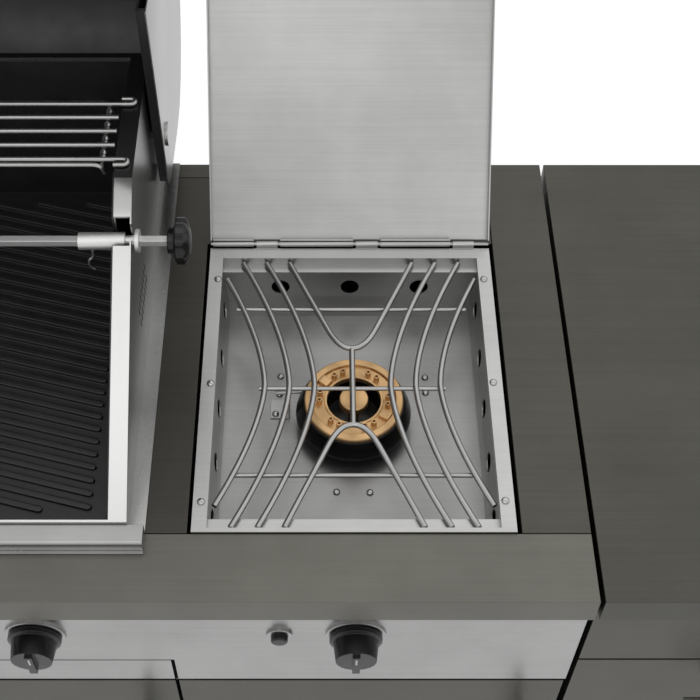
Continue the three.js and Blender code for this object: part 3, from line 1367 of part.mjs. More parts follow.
const loopWire = (endY, tip) => {
  const half = loopEndShare * tub.width;
  const flank = loopWidthShares.map((share, i) => [half * share, endY + (tip - endY) * loopReachShares[i]]);
  const leg = (side) => [[half, endY], ...flank].map(([x, y]) => at(trivetX + side * x, y, trivetZ));
  const points = [...leg(-1), at(trivetX, tip, trivetZ), ...leg(1).reverse()];
  return wire(points, trivet.wire, curveSteps + arcSteps);
};
add('burner_trivet', join(
  [1, -1].flatMap((side) => wireEndShares.map((_, i) => waisted(side, i))),
  loopWire(trivet.front, tipY[0]),
  loopWire(trivet.back, tipY[1]),
  rod(at(trivetX, tipY[0], trivetZ), at(trivetX, tipY[1], trivetZ), trivet.wire, wireSides),
  crossPlaceShares.map((share, i) => {
    const y = trivet.front + share * trivetSpan;
    const reach = crossReachShares[i] * tub.width;
    return rod(at(trivetX - reach, y, crossZ), at(trivetX + reach, y, crossZ), trivet.crossWire, wireSides);
  }),
), polished);

// Lid: a shallow pan with knuckles, drawn closed and turned open about the hinge pin
add('lid_hinge_pin', rod(
  at(tubLeft + fit * 2, hingeAxisY, hingeAxisZ), at(tubRight - fit * 2, hingeAxisY, hingeAxisZ), lid.pin,
), stainless);
const lidGroup = pivot('burner_lid_hinge', at(tubLeft, hingeAxisY, hingeAxisZ));
lidGroup.rotation.x = -THREE.MathUtils.degToRad(lid.openDegrees);
const lidLow = tubTop + fit;
const lidTop = lidLow + lid.height;
const lidBack = hingeAxisY - lid.knuckle - fit * 3;
const lidTabs = lidKnuckleShares.map((shares) => {
  const [x0, x1] = shares.map((share) => tubLeft + share * tub.width);
  return join(
    knuckleAt(shares, lid.knuckle),
    box(x0, x1, lidBack - lid.sheet, lidBack, lidLow, lidTop),
    box(x0, x1, lidBack - lid.sheet, hingeAxisY, hingeAxisZ + lid.pin + fit, hingeAxisZ + lid.knuckle),
  );
});
add('burner_lid', cut(
  join(
    cut(
      box(tubLeft, tubRight, tubFront + fit, lidBack, lidLow, lidTop),
      box(
        tubLeft + lid.sheet, tubRight - lid.sheet, tubFront + fit + lid.sheet, lidBack + overrun,
        lidLow - overrun, lidTop - lid.sheet,
      ),
    ),
    lidTabs,
  ),
  knuckleAt([0, 1], lid.pin + fit),
), stainless, lidGroup);

// Centre the island over the origin, with the floor at Z = 0
assembly.updateMatrixWorld(true);
const bounds = new THREE.Box3().setFromObject(assembly, true);
const centre = bounds.getCenter(new THREE.Vector3());
assembly.position.set(-centre.x, -centre.y, -bounds.min.z);

const island = new THREE.Group();
island.add(assembly);

export default island;
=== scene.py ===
# %% [markdown]
# # An outdoor kitchen island, dressed in Blender
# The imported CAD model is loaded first. It fixes every size and every joint, and nothing here moves it.
# Each later step gives one piece or one finish the look of the real thing.

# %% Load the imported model
import bpy
import json
import math
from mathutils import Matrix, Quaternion, Vector

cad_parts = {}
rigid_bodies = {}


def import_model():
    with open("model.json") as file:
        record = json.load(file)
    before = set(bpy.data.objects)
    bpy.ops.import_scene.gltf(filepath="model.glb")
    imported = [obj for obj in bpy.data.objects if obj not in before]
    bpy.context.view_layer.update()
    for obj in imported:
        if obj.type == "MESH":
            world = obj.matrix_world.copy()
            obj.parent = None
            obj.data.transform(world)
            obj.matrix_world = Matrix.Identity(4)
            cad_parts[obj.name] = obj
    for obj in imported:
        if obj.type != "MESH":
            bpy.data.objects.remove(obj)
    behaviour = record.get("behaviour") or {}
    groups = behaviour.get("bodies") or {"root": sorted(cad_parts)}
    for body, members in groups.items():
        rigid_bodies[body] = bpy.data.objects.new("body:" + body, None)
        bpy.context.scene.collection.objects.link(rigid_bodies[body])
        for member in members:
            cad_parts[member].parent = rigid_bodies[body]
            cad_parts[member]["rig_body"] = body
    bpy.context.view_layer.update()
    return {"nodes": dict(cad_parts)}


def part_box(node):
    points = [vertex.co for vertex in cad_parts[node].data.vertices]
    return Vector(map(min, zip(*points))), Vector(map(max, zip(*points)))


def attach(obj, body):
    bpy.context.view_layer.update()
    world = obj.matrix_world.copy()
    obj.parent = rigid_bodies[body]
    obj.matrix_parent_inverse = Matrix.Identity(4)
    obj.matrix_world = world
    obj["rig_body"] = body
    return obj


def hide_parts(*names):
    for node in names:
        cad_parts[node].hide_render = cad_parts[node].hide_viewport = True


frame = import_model()

# %% [markdown]
# ## Where things are
# Distances on the worktop are easiest in millimetres. Round the side burner they count across from the
# left edge of the tub's flange, and round the grill from the worktop's left end. Both count back from the
# worktop's front edge and up from its surface.

# %% Places on the worktop
MM = 0.001
tub_low, tub_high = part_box("burner_tub")
strip_low, strip_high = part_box("worktop_front_strip")
DECK = strip_high.z


def tub_spot(across, back, rise):
    return Vector((tub_low.x + across * MM, strip_low.y + back * MM, DECK + rise * MM))


def grill_spot(across, back, rise):
    return Vector((strip_low.x + across * MM, strip_low.y + back * MM, DECK + rise * MM))


print("the tub's lowest corner is at", tuple(round(x, 4) for x in tub_low))

# %% [markdown]
# ## Camera
# The photograph looks down from the front at 53 degrees, level from side to side, a little left of the
# burner. The lens is a short telephoto, and a small shift keeps the burner right of the picture's middle.

# %% Camera
DEGREES_DOWN = 53
LEFT_OF_BURNER = 0.0294
BEFORE_WORKTOP = 0.5574
OVER_WORKTOP = 1.149
burner_middle = (tub_low.x + tub_high.x) / 2
eye = Vector((burner_middle - LEFT_OF_BURNER, strip_low.y - BEFORE_WORKTOP, DECK + OVER_WORKTOP))
bpy.ops.object.select_all(action="DESELECT")
bpy.ops.object.camera_add(location=eye, rotation=(math.radians(90 - DEGREES_DOWN), 0, 0))
camera = bpy.context.active_object
camera.data.lens = 66.09
camera.data.sensor_width = 36
camera.data.shift_x = 0.0357
camera.data.clip_end = 30
bpy.context.scene.camera = camera
bpy.context.scene.view_settings.view_transform = "Standard"
print("camera at", tuple(round(x, 3) for x in eye))

# %% [markdown]
# ## Light and floor
# Brushed steel only looks like steel when it mirrors something. The level worktop mirrors what is above and
# behind it, so a very wide soft box hangs there. The grill's sloping rims mirror the part of the studio over
# the camera, so a second box there makes them shine. A box in front and one at the right light the upright
# sides, and the pale world fills the rest.
#
# The photograph has a white background. More light would burn out the steel, so the background is only white
# for the rays that look at it: those from the camera, and those that a mirror or glass sends on. All other
# rays get the softer fill. The floor is treated in the same way, and still takes the kitchen's shadow.

# %% Soft boxes


def softbox(name, place, aim, width, depth, power):
    bpy.ops.object.light_add(type="AREA", location=place)
    lamp = bpy.context.active_object
    lamp.name = name
    lamp.rotation_euler = (Vector(aim) - Vector(place)).to_track_quat("-Z", "Y").to_euler()
    lamp.data.shape = "RECTANGLE"
    lamp.data.size = width
    lamp.data.size_y = depth
    lamp.data.energy = power


softbox("wide_box_behind", (0.5, 1.5, 3.5), aim=(0, 0, 0.9), width=4.2, depth=2.4, power=13)
softbox("box_over_camera", (-0.5, -1.5, 3.5), aim=(-0.1, -0.1, 0.9), width=1.8, depth=1.0, power=7)
softbox("front_box", (1.4, -3.0, 2.7), aim=(0.1, 0.2, 1.0), width=2.6, depth=2.2, power=8)
softbox("right_box", (3.2, -0.4, 2.4), aim=(0, 0, 0.8), width=1.6, depth=2.2, power=5)

# %% Sums in node trees, and the rays that see white


def step_node(tree, operation, first=None, second=None, third=None):
    node = tree.nodes.new("ShaderNodeMath")
    node.operation = operation
    for socket, value in zip(node.inputs, (first, second, third)):
        if value is not None:
            socket.default_value = value
    return node


def seen_or_mirrored(tree):
    ray = tree.nodes.new("ShaderNodeLightPath")
    mirrored = step_node(tree, "MAXIMUM")
    either = step_node(tree, "MAXIMUM")
    tree.links.new(ray.outputs["Is Glossy Ray"], mirrored.inputs[0])
    tree.links.new(ray.outputs["Is Transmission Ray"], mirrored.inputs[1])
    tree.links.new(ray.outputs["Is Camera Ray"], either.inputs[0])
    tree.links.new(mirrored.outputs[0], either.inputs[1])
    return either.outputs[0]


print("node helpers:", step_node.__name__, seen_or_mirrored.__name__)

# %% World
FILL_STRENGTH = 0.42
world = bpy.data.worlds.new("studio_world")
bpy.context.scene.world = world
world.use_nodes = True
sky = world.node_tree
sky.nodes.clear()
sky_out = sky.nodes.new("ShaderNodeOutputWorld")
fill_light = sky.nodes.new("ShaderNodeBackground")
fill_light.inputs["Color"].default_value = (0.97, 0.98, 1, 1)
fill_light.inputs["Strength"].default_value = FILL_STRENGTH
seen_white = sky.nodes.new("ShaderNodeBackground")
seen_white.inputs["Color"].default_value = (1, 1, 1, 1)
seen_white.inputs["Strength"].default_value = 1.0
choose = sky.nodes.new("ShaderNodeMixShader")
sky.links.new(seen_or_mirrored(sky), choose.inputs["Fac"])
sky.links.new(fill_light.outputs[0], choose.inputs[1])
sky.links.new(seen_white.outputs[0], choose.inputs[2])
sky.links.new(choose.outputs[0], sky_out.inputs["Surface"])
print("world fill strength:", FILL_STRENGTH)

# %% Floor
FLOOR_SIZE = 60
FLOOR_LIFT = 0.56
bpy.ops.object.select_all(action="DESELECT")
bpy.ops.mesh.primitive_plane_add(size=FLOOR_SIZE, location=(0, 0, 0))
floor = bpy.context.active_object
floor.name = "studio_floor"
floor_paint = bpy.data.materials.new("studio_floor_paint")
floor_paint.use_nodes = True
floor_tree = floor_paint.node_tree
floor_shader = floor_tree.nodes["Principled BSDF"]
floor_shader.inputs["Base Color"].default_value = (0.95, 0.95, 0.95, 1)
floor_shader.inputs["Roughness"].default_value = 0.85
floor_shader.inputs["Emission Color"].default_value = (1, 1, 1, 1)
floor_lift = step_node(floor_tree, "MULTIPLY", None, FLOOR_LIFT)
floor_tree.links.new(seen_or_mirrored(floor_tree), floor_lift.inputs[0])
floor_tree.links.new(floor_lift.outputs[0], floor_shader.inputs["Emission Strength"])
floor.data.materials.append(floor_paint)
print("floor:", FLOOR_SIZE, "m across")

# %% [markdown]
# ## Finishes: the shared effects
# Rolled sheet is brushed in one direction. Its look is a very stretched noise: fine lines along the brush,
# which vary the colour and the roughness and lift the surface by a hair. One node group does this for every
# brushed material. A second gives cloudy marks, so that no surface is one flat tone, and a third gives the
# few long scratches that wiping leaves on steel.

# %% Helpers for node trees


def wire_up(tree, *pairs):
    for out_socket, in_socket in pairs:
        tree.links.new(out_socket, in_socket)


def group_with(name, inputs, outputs):
    tree = bpy.data.node_groups.new(name, "ShaderNodeTree")
    for label, kind, value in inputs:
        socket = tree.interface.new_socket(label, in_out="INPUT", socket_type=kind)
        if value is not None:
            socket.default_value = value
    for label, kind in outputs:
        tree.interface.new_socket(label, in_out="OUTPUT", socket_type=kind)
    return tree, tree.nodes.new("NodeGroupInput"), tree.nodes.new("NodeGroupOutput")


def placed(tree, group, **values):
    node = tree.nodes.new("ShaderNodeGroup")
    node.node_tree = group
    for label, value in values.items():
        node.inputs[label].default_value = value
    return node


FLOAT = "NodeSocketFloat"
VECTOR = "NodeSocketVector"
print("node helpers:", wire_up.__name__, group_with.__name__, placed.__name__)

# %% Brushed grain
BROAD_SHARE = 0.35


def grain_group():
    tree, inside, outside = group_with(
        "brushed_grain",
        [("Vector", VECTOR, None), ("Stretch", VECTOR, (4, 900, 900)), ("Contrast", FLOAT, 0.5)],
        [("Streaks", FLOAT), ("Fine", FLOAT)],
    )
    stretch = tree.nodes.new("ShaderNodeMapping")
    noise = tree.nodes.new("ShaderNodeTexNoise")
    noise.inputs["Scale"].default_value = 1.0
    noise.inputs["Detail"].default_value = 6.0
    noise.inputs["Roughness"].default_value = 0.72
    broad = tree.nodes.new("ShaderNodeTexNoise")
    broad.inputs["Scale"].default_value = 0.22
    broad.inputs["Detail"].default_value = 2.0
    mix = step_node(tree, "MULTIPLY_ADD", None, BROAD_SHARE)
    centre = step_node(tree, "SUBTRACT", None, 0.5 + 0.5 * BROAD_SHARE)
    scaled = step_node(tree, "MULTIPLY")
    wire_up(
        tree,
        (inside.outputs["Vector"], stretch.inputs["Vector"]),
        (inside.outputs["Stretch"], stretch.inputs["Scale"]),
        (stretch.outputs[0], noise.inputs["Vector"]),
        (stretch.outputs[0], broad.inputs["Vector"]),
        (broad.outputs["Fac"], mix.inputs[0]),
        (noise.outputs["Fac"], mix.inputs[2]),
        (mix.outputs[0], centre.inputs[0]),
        (centre.outputs[0], scaled.inputs[0]),
        (inside.outputs["Contrast"], scaled.inputs[1]),
        (scaled.outputs[0], outside.inputs["Streaks"]),
        (noise.outputs["Fac"], outside.inputs["Fine"]),
    )
    return tree


GRAIN = grain_group()
print("group", GRAIN.name)

# %% Cloudy marks


def clouds_group():
    tree, inside, outside = group_with(
        "cloudy_marks",
        [("Vector", VECTOR, None), ("Scale", FLOAT, 9.0), ("Low", FLOAT, 0.9), ("High", FLOAT, 1.1)],
        [("Factor", FLOAT)],
    )
    noise = tree.nodes.new("ShaderNodeTexNoise")
    noise.inputs["Detail"].default_value = 4.0
    noise.inputs["Roughness"].default_value = 0.6
    spread = tree.nodes.new("ShaderNodeMapRange")
    spread.inputs["From Min"].default_value = 0.3
    spread.inputs["From Max"].default_value = 0.7
    wire_up(
        tree,
        (inside.outputs["Vector"], noise.inputs["Vector"]),
        (inside.outputs["Scale"], noise.inputs["Scale"]),
        (noise.outputs["Fac"], spread.inputs["Value"]),
        (inside.outputs["Low"], spread.inputs["To Min"]),
        (inside.outputs["High"], spread.inputs["To Max"]),
        (spread.outputs[0], outside.inputs["Factor"]),
    )
    return tree


CLOUDS = clouds_group()
print("group", CLOUDS.name)

# %% Wiping scratches


def scratches_group():
    tree, inside, outside = group_with(
        "wiping_scratches", [("Vector", VECTOR, None), ("Strength", FLOAT, 0.06)], [("Scratch", FLOAT)],
    )
    turn = tree.nodes.new("ShaderNodeMapping")
    turn.inputs["Rotation"].default_value = (0.3, 0.5, 0.6)
    turn.inputs["Scale"].default_value = (6, 420, 420)
    lines = tree.nodes.new("ShaderNodeTexNoise")
    lines.inputs["Scale"].default_value = 1.0
    lines.inputs["Detail"].default_value = 1.0
    keep = tree.nodes.new("ShaderNodeMapRange")
    keep.inputs["From Min"].default_value = 0.70
    keep.inputs["From Max"].default_value = 0.78
    scaled = step_node(tree, "MULTIPLY")
    wire_up(
        tree,
        (inside.outputs["Vector"], turn.inputs["Vector"]),
        (turn.outputs[0], lines.inputs["Vector"]),
        (lines.outputs["Fac"], keep.inputs["Value"]),
        (keep.outputs[0], scaled.inputs[0]),
        (inside.outputs["Strength"], scaled.inputs[1]),
        (scaled.outputs[0], outside.inputs["Scratch"]),
    )
    return tree


SCRATCHES = scratches_group()
print("group", SCRATCHES.name)

# %% [markdown]
# ## Finishes: brushed sheet
# The worktop is stainless sheet with a dark gunmetal tone, and the grill and the tub are bare stainless.
# Both are metal with the same grain group. The tone, the roughness, the brush direction and how strongly the
# grain, the clouds and the scratches show differ from finish to finish. Some finishes are copies of one
# sheet
# whose tone is changed only for the light: painted highlight on the worktop's front strip and the grill's
# sloped rims, painted shade beside the grill, on the grill's upright sides and on the tub's floor, and a
# painted dark reflection on the level rims.

# %% Brushed metal
ALONG = {"x": (5, 700, 700), "y": (700, 5, 700), "z": (700, 700, 5)}
GRAIN_IN_ROUGHNESS = 0.25


def brushed(name, tone, roughness, along, contrast=0.5, depth=0.00002, marks=0.08, scratch=0.05):
    paint = bpy.data.materials.new(name)
    paint.use_nodes = True
    tree = paint.node_tree
    shader = tree.nodes["Principled BSDF"]
    shader.inputs["Metallic"].default_value = 1.0
    where = tree.nodes.new("ShaderNodeTexCoord")
    grain = placed(tree, GRAIN, Stretch=ALONG[along], Contrast=contrast)
    cloud = placed(tree, CLOUDS, Low=1 - marks, High=1 + marks)
    scratches = placed(tree, SCRATCHES, Strength=scratch)
    shade = step_node(tree, "ADD")
    marked = step_node(tree, "ADD")
    tint = tree.nodes.new("ShaderNodeVectorMath")
    tint.operation = "SCALE"
    tint.inputs[0].default_value = tone
    rough = step_node(tree, "MULTIPLY_ADD", None, GRAIN_IN_ROUGHNESS, roughness)
    bump = tree.nodes.new("ShaderNodeBump")
    bump.inputs["Distance"].default_value = depth
    wire_up(
        tree,
        (where.outputs["Object"], grain.inputs["Vector"]),
        (where.outputs["Object"], cloud.inputs["Vector"]),
        (where.outputs["Object"], scratches.inputs["Vector"]),
        (cloud.outputs["Factor"], shade.inputs[0]),
        (grain.outputs["Streaks"], shade.inputs[1]),
        (shade.outputs[0], marked.inputs[0]),
        (scratches.outputs["Scratch"], marked.inputs[1]),
        (marked.outputs[0], tint.inputs["Scale"]),
        (tint.outputs[0], shader.inputs["Base Color"]),
        (grain.outputs["Streaks"], rough.inputs[0]),
        (rough.outputs[0], shader.inputs["Roughness"]),
        (grain.outputs["Fine"], bump.inputs["Height"]),
        (bump.outputs[0], shader.inputs["Normal"]),
    )
    return paint


# The front strip is the same gunmetal sheet as the others; its lighter tone is painted highlight.
gunmetal_front_painted_highlight = brushed("gunmetal_front_edge", (0.128, 0.124, 0.109), 0.40, "x", 0.45)
gunmetal_x = brushed("gunmetal_brushed_across", (0.073, 0.071, 0.062), 0.42, "x", 0.55)
# The strip beside the grill is the same gunmetal sheet; its darker tone is painted shade.
gunmetal_painted_shade_middle = brushed("gunmetal_beside_the_grill", (0.060, 0.058, 0.051), 0.42, "x", 0.55)
gunmetal_z = brushed("gunmetal_brushed_upright", (0.085, 0.082, 0.072), 0.42, "z")
stainless_x = brushed("stainless_brushed_across", (0.350, 0.349, 0.344), 0.32, "x", 0.32)
stainless_y = brushed("stainless_brushed_deep", (0.360, 0.359, 0.354), 0.30, "y", 0.30)
stainless_z = brushed("stainless_brushed_upright", (0.360, 0.359, 0.354), 0.34, "z", 0.30)
cheek_steel = brushed("stainless_on_the_cheeks", (0.360, 0.359, 0.354), 0.26, "z", 0.35)
# The housing's upright sides are the same stainless; their darker tone is painted shade.
cheek_side_painted_shade = brushed("stainless_on_the_sides", (0.210, 0.210, 0.206), 0.30, "z", 0.35)
steel_wire = brushed("satin_wire", (0.340, 0.339, 0.334), 0.30, "y", 0.12, depth=0.00001)
bright_steel = brushed("polished_steel", (0.520, 0.519, 0.511), 0.34, "x", 0.1, depth=0.000005)
spit_steel = brushed("satin_spit_steel", (0.620, 0.619, 0.609), 0.50, "x", 0.1, depth=0.000005)
screw_steel = brushed("screw_steel", (0.360, 0.359, 0.354), 0.14, "x", 0.1, depth=0.000005)
# The sloped rims are the same stainless as the housing; their brighter tone is painted highlight.
rim_painted_highlight = brushed("stainless_on_the_sloped_rim", (0.462, 0.461, 0.454), 0.30, "y", 0.1,
                    depth=0.00001, marks=0.02, scratch=0.02)
# The level rims are the same stainless; their near black tone is a painted dark reflection.
rim_painted_dark_reflection = brushed("dark_level_rim", (0.070, 0.070, 0.069), 0.35, "y", 0.3)
# The tub's floor is the same stainless as the tub; its darker tone is painted shade in the recess.
tub_floor_painted_shade = brushed("stainless_on_the_tub_floor", (0.300, 0.299, 0.295), 0.36, "x", 0.36)
tub_steel = brushed("stainless_on_the_tub", (0.400, 0.399, 0.393), 0.34, "x", 0.28)
print("brushed finishes:", [m.name for m in bpy.data.materials if "brushed" in m.name])

# %% [markdown]
# ## Finishes: enamel, cast iron, brass, plastic and powder coat
# These are coated or cast surfaces. A fine noise bump breaks the shine in the way that orange peel, sand
# casting or moulding texture does, and the clouds vary the tone.

# %% Coated and cast surfaces
CLOUDS_PER_METRE = 30


def coated(name, tone, roughness, bump_scale, depth, metal=0.0, marks=0.15, gloss=0.5):
    paint = bpy.data.materials.new(name)
    paint.use_nodes = True
    tree = paint.node_tree
    shader = tree.nodes["Principled BSDF"]
    shader.inputs["Metallic"].default_value = metal
    shader.inputs["Specular IOR Level"].default_value = gloss
    where = tree.nodes.new("ShaderNodeTexCoord")
    cloud = placed(tree, CLOUDS, Scale=CLOUDS_PER_METRE, Low=1 - marks, High=1 + marks)
    tint = tree.nodes.new("ShaderNodeVectorMath")
    tint.operation = "SCALE"
    tint.inputs[0].default_value = tone
    rough = step_node(tree, "MULTIPLY", None, roughness)
    pits = tree.nodes.new("ShaderNodeTexNoise")
    pits.inputs["Scale"].default_value = bump_scale
    pits.inputs["Detail"].default_value = 3.0
    bump = tree.nodes.new("ShaderNodeBump")
    bump.inputs["Distance"].default_value = depth
    wire_up(
        tree,
        (where.outputs["Object"], cloud.inputs["Vector"]),
        (where.outputs["Object"], pits.inputs["Vector"]),
        (cloud.outputs["Factor"], tint.inputs["Scale"]),
        (tint.outputs[0], shader.inputs["Base Color"]),
        (cloud.outputs["Factor"], rough.inputs[0]),
        (rough.outputs[0], shader.inputs["Roughness"]),
        (pits.outputs["Fac"], bump.inputs["Height"]),
        (bump.outputs[0], shader.inputs["Normal"]),
    )
    return paint


black_enamel = coated("black_enamel", (0.014, 0.014, 0.014), 0.40, 350, 0.00008)
plate_black = coated("plate_black", (0.011, 0.011, 0.0115), 0.42, 600, 0.0001)
cast_black = coated("cast_black", (0.003, 0.003, 0.003), 0.22, 700, 0.00004, gloss=0.3)
sandy_brass = coated("sandy_brass", (0.60, 0.385, 0.19), 0.42, 900, 0.0001, metal=0.9)
knob_black = coated("knob_black", (0.005, 0.005, 0.005), 0.28, 250, 0.00002, gloss=0.35)
powder_coat = coated("powder_coat", (0.045, 0.043, 0.040), 0.55, 1500, 0.00006)
dial_white = coated("dial_white", (0.70, 0.70, 0.68), 0.45, 900, 0.00001, marks=0.04)
pointer_red = coated("pointer_red", (0.35, 0.02, 0.015), 0.4, 900, 0.00001, marks=0.05)
print("finishes in all:", len(bpy.data.materials))

# %% [markdown]
# ## Helpers for shaping
# Most CAD nodes get a copy of their mesh that is merged, given a fine bevel and shaded smooth, because every
# real sheet edge and casting corner is slightly round and catches the light. Round parts are made as on a
# lathe: a disc is extruded and resized again and again. Wires are curves with a round section that are then
# made meshes, and each bend follows a smooth arc.

# %% Selecting and applying


def only(piece):
    bpy.ops.object.select_all(action="DESELECT")
    piece.select_set(True)
    bpy.context.view_layer.objects.active = piece


def shaped(piece, kind, **settings):
    only(piece)
    modifier = piece.modifiers.new(kind.lower(), kind)
    for label, value in settings.items():
        setattr(modifier, label, value)
    bpy.ops.object.modifier_apply(modifier=modifier.name)


def settled(piece):
    only(piece)
    bpy.ops.object.transform_apply(location=True, rotation=True, scale=True)


def finished(piece, finish, body, slot, smooth=35):
    settled(piece)
    bpy.ops.object.shade_smooth_by_angle(angle=math.radians(smooth))
    piece.data.materials.clear()
    piece.data.materials.append(finish)
    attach(piece, body)
    return piece


def body_of(node_name):
    return frame["nodes"][node_name]["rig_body"]


print("helpers:", [f.__name__ for f in (only, shaped, settled, finished, body_of)])

# %% Rounded copies of CAD pieces
BEVEL_FROM_DEGREES = 34
FLAT_FACE_WEIGHT = 80


def rounded(node_name, finish, slot, width):
    mesh = frame["nodes"][node_name].data.copy()
    piece = bpy.data.objects.new("rounded_" + node_name, mesh)
    bpy.context.scene.collection.objects.link(piece)
    only(piece)
    bpy.ops.object.mode_set(mode="EDIT")
    bpy.ops.mesh.select_all(action="SELECT")
    bpy.ops.mesh.remove_doubles(threshold=0.00001)
    bpy.ops.object.mode_set(mode="OBJECT")
    shaped(piece, "BEVEL", width=width * MM, segments=2, limit_method="ANGLE",
           angle_limit=math.radians(BEVEL_FROM_DEGREES), use_clamp_overlap=True, loop_slide=False)
    finished(piece, finish, body_of(node_name), slot)
    shaped(piece, "WEIGHTED_NORMAL", weight=FLAT_FACE_WEIGHT, keep_sharp=True)
    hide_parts(node_name)


print("helper:", rounded.__name__)

# %% Parts from the lathe


def lathe(name, profile, sides=48):
    bpy.ops.object.select_all(action="DESELECT")
    radius, height = profile[0]
    bpy.ops.mesh.primitive_circle_add(vertices=sides, radius=radius * MM, fill_type="NGON")
    piece = bpy.context.active_object
    piece.name = name
    bpy.ops.object.mode_set(mode="EDIT")
    bpy.ops.mesh.select_all(action="SELECT")
    bpy.ops.transform.translate(value=(0, 0, height * MM))
    for wide, high in profile[1:]:
        bpy.ops.mesh.extrude_region_move(TRANSFORM_OT_translate={"value": (0, 0, (high - height) * MM)})
        bpy.ops.transform.resize(value=(wide / radius, wide / radius, 1), center_override=(0, 0, 0))
        radius, height = wide, high
    bpy.ops.mesh.select_all(action="SELECT")
    bpy.ops.mesh.normals_make_consistent(inside=False)
    bpy.ops.object.mode_set(mode="OBJECT")
    return piece


def stand_at(piece, place, turn=(0, 0, 0)):
    piece.location = place
    piece.rotation_euler = turn


print("helpers:", lathe.__name__, stand_at.__name__)

# %% Bent wire
WIRE_CORNER_STEPS = 7
MOST_OF_A_LEG = 0.48


def bend_corners(points, bend):
    path = [points[0]]
    for before, corner, after in zip(points, points[1:], points[2:]):
        reach_in = min(bend * MM, (corner - before).length * MOST_OF_A_LEG)
        reach_out = min(bend * MM, (after - corner).length * MOST_OF_A_LEG)
        start = corner + (before - corner).normalized() * reach_in
        end = corner + (after - corner).normalized() * reach_out
        for i in range(WIRE_CORNER_STEPS + 1):
            t = i / WIRE_CORNER_STEPS
            path.append(start * (1 - t) ** 2 + corner * 2 * t * (1 - t) + end * t * t)
    return path + [points[-1]]


def wire(name, path, radius, sides=3):
    curve = bpy.data.curves.new(name, "CURVE")
    curve.dimensions = "3D"
    curve.bevel_depth = radius * MM
    curve.bevel_resolution = sides
    curve.use_fill_caps = True
    spline = curve.splines.new("POLY")
    spline.points.add(len(path) - 1)
    for point, place in zip(spline.points, path):
        point.co = (*place, 1)
    piece = bpy.data.objects.new(name, curve)
    bpy.context.scene.collection.objects.link(piece)
    only(piece)
    bpy.ops.object.convert(target="MESH")
    piece = bpy.context.active_object
    shaped(piece, "BEVEL", width=radius * 0.6 * MM, segments=3, limit_method="ANGLE",
           angle_limit=math.radians(60))
    return piece


print("helpers:", bend_corners.__name__, wire.__name__)

# %% Joining and copying


def joined(name, pieces):
    bpy.ops.object.select_all(action="DESELECT")
    for piece in pieces:
        piece.select_set(True)
    bpy.context.view_layer.objects.active = pieces[0]
    bpy.ops.object.join()
    whole = bpy.context.active_object
    whole.name = name
    return whole


def copied(piece, shift):
    only(piece)
    bpy.ops.object.duplicate(linked=False)
    twin = bpy.context.active_object
    twin.location = twin.location + shift
    return twin


print("helpers:", joined.__name__, copied.__name__)

# %% [markdown]
# ## Dressing the plain CAD nodes
# Nodes whose shape is already right keep it and only get a finish. The table pairs each finish with the
# nodes that have it on the real kitchen.

# %% Finishes for the CAD nodes
FINISHES = [
    (gunmetal_x, ["worktop_back_strip", "worktop_left_strip"]),
    (stainless_x, ["drip_tray", "lid_hinge_pin", "control_panel"]),
    (stainless_y, ["tube_burner_1", "tube_burner_2", "tube_burner_3", "tube_burner_4"]),
    (sandy_brass, ["gas_manifold"]),
    (powder_coat, ["grill_plinth", "storage_plinth", "grill_cabinet_shell", "grill_cabinet_floor",
                   "grill_cabinet_divider", "storage_cabinet_shell"]),
]
for finish, names in FINISHES:
    for name in names:
        mesh = frame["nodes"][name].data
        mesh.materials.clear()
        mesh.materials.append(finish)
print("dressed", sum(len(names) for _, names in FINISHES), "nodes as they are")

# %% [markdown]
# ## Sheet metal with soft edges
# The worktop panels, the grill, its hood, the tub, the lid, the doors and the drawers are folded sheet. Each
# gets a rounded copy of its CAD mesh, with the bevel that the fold has, in millimetres. The handles, the
# plate, the grate, the spit and the plastic knobs are bars, castings and mouldings, and get the same.

# %% Rounded pieces
ROUNDED = [
    # The front strip's lighter tone is painted highlight.
    (gunmetal_front_painted_highlight, "gunmetal_sheet", 0.9, ["worktop_front_strip"]),
    (gunmetal_x, "gunmetal_sheet", 0.9, ["storage_worktop"]),
    # The middle strip's darker tone is painted shade.
    (gunmetal_painted_shade_middle, "gunmetal_sheet", 0.9, ["worktop_middle_strip"]),
    (gunmetal_x, "gunmetal_sheet", 0.9, ["worktop_right_strip"]),
    (gunmetal_z, "gunmetal_sheet", 0.8, ["left_door", "right_door", "burner_bay_door"]),
    (gunmetal_z, "gunmetal_sheet", 0.5, ["top_drawer", "middle_drawer", "bottom_drawer"]),
    (stainless_x, "stainless", 0.9, ["grill_front_bar"]),
    (cheek_steel, "stainless", 0.5, ["grill_housing"]),
    (tub_steel, "stainless", 0.35, ["burner_tub"]),
    (stainless_x, "stainless", 0.35, ["burner_lid"]),
    (stainless_x, "stainless", 0.5, ["hood_outer_shell"]),
    (bright_steel, "polished_steel", 0.8, [
        "hood_handle", "top_drawer_handle", "middle_drawer_handle", "bottom_drawer_handle",
        "left_door_handle", "right_door_handle", "burner_bay_door_handle"]),
    (stainless_z, "stainless", 0.3, ["burner_igniter"]),
    (black_enamel, "black_enamel", 0.5, ["hood_inner_liner", "firebox"]),
    (plate_black, "cast_iron", 0.9, ["ribbed_hotplate"]),
    (plate_black, "cast_iron", 0.8, ["grill_grate"]),
    (spit_steel, "polished_steel", 0.5, ["spit_rod", "spit_bushing"]),
    (knob_black, "black_plastic", 1.5, ["rotisserie_motor"]),
    (knob_black, "black_plastic", 0.8, [
        "igniter_button", "grill_knob_1", "grill_knob_2", "grill_knob_3", "grill_knob_4", "burner_knob"]),
    (bright_steel, "polished_steel", 0.5, ["hood_thermometer"]),
]
for finish, slot, width, names in ROUNDED:
    for name in names:
        rounded(name, finish, slot, width)
print("rounded", sum(len(names) for finish, slot, width, names in ROUNDED), "pieces")

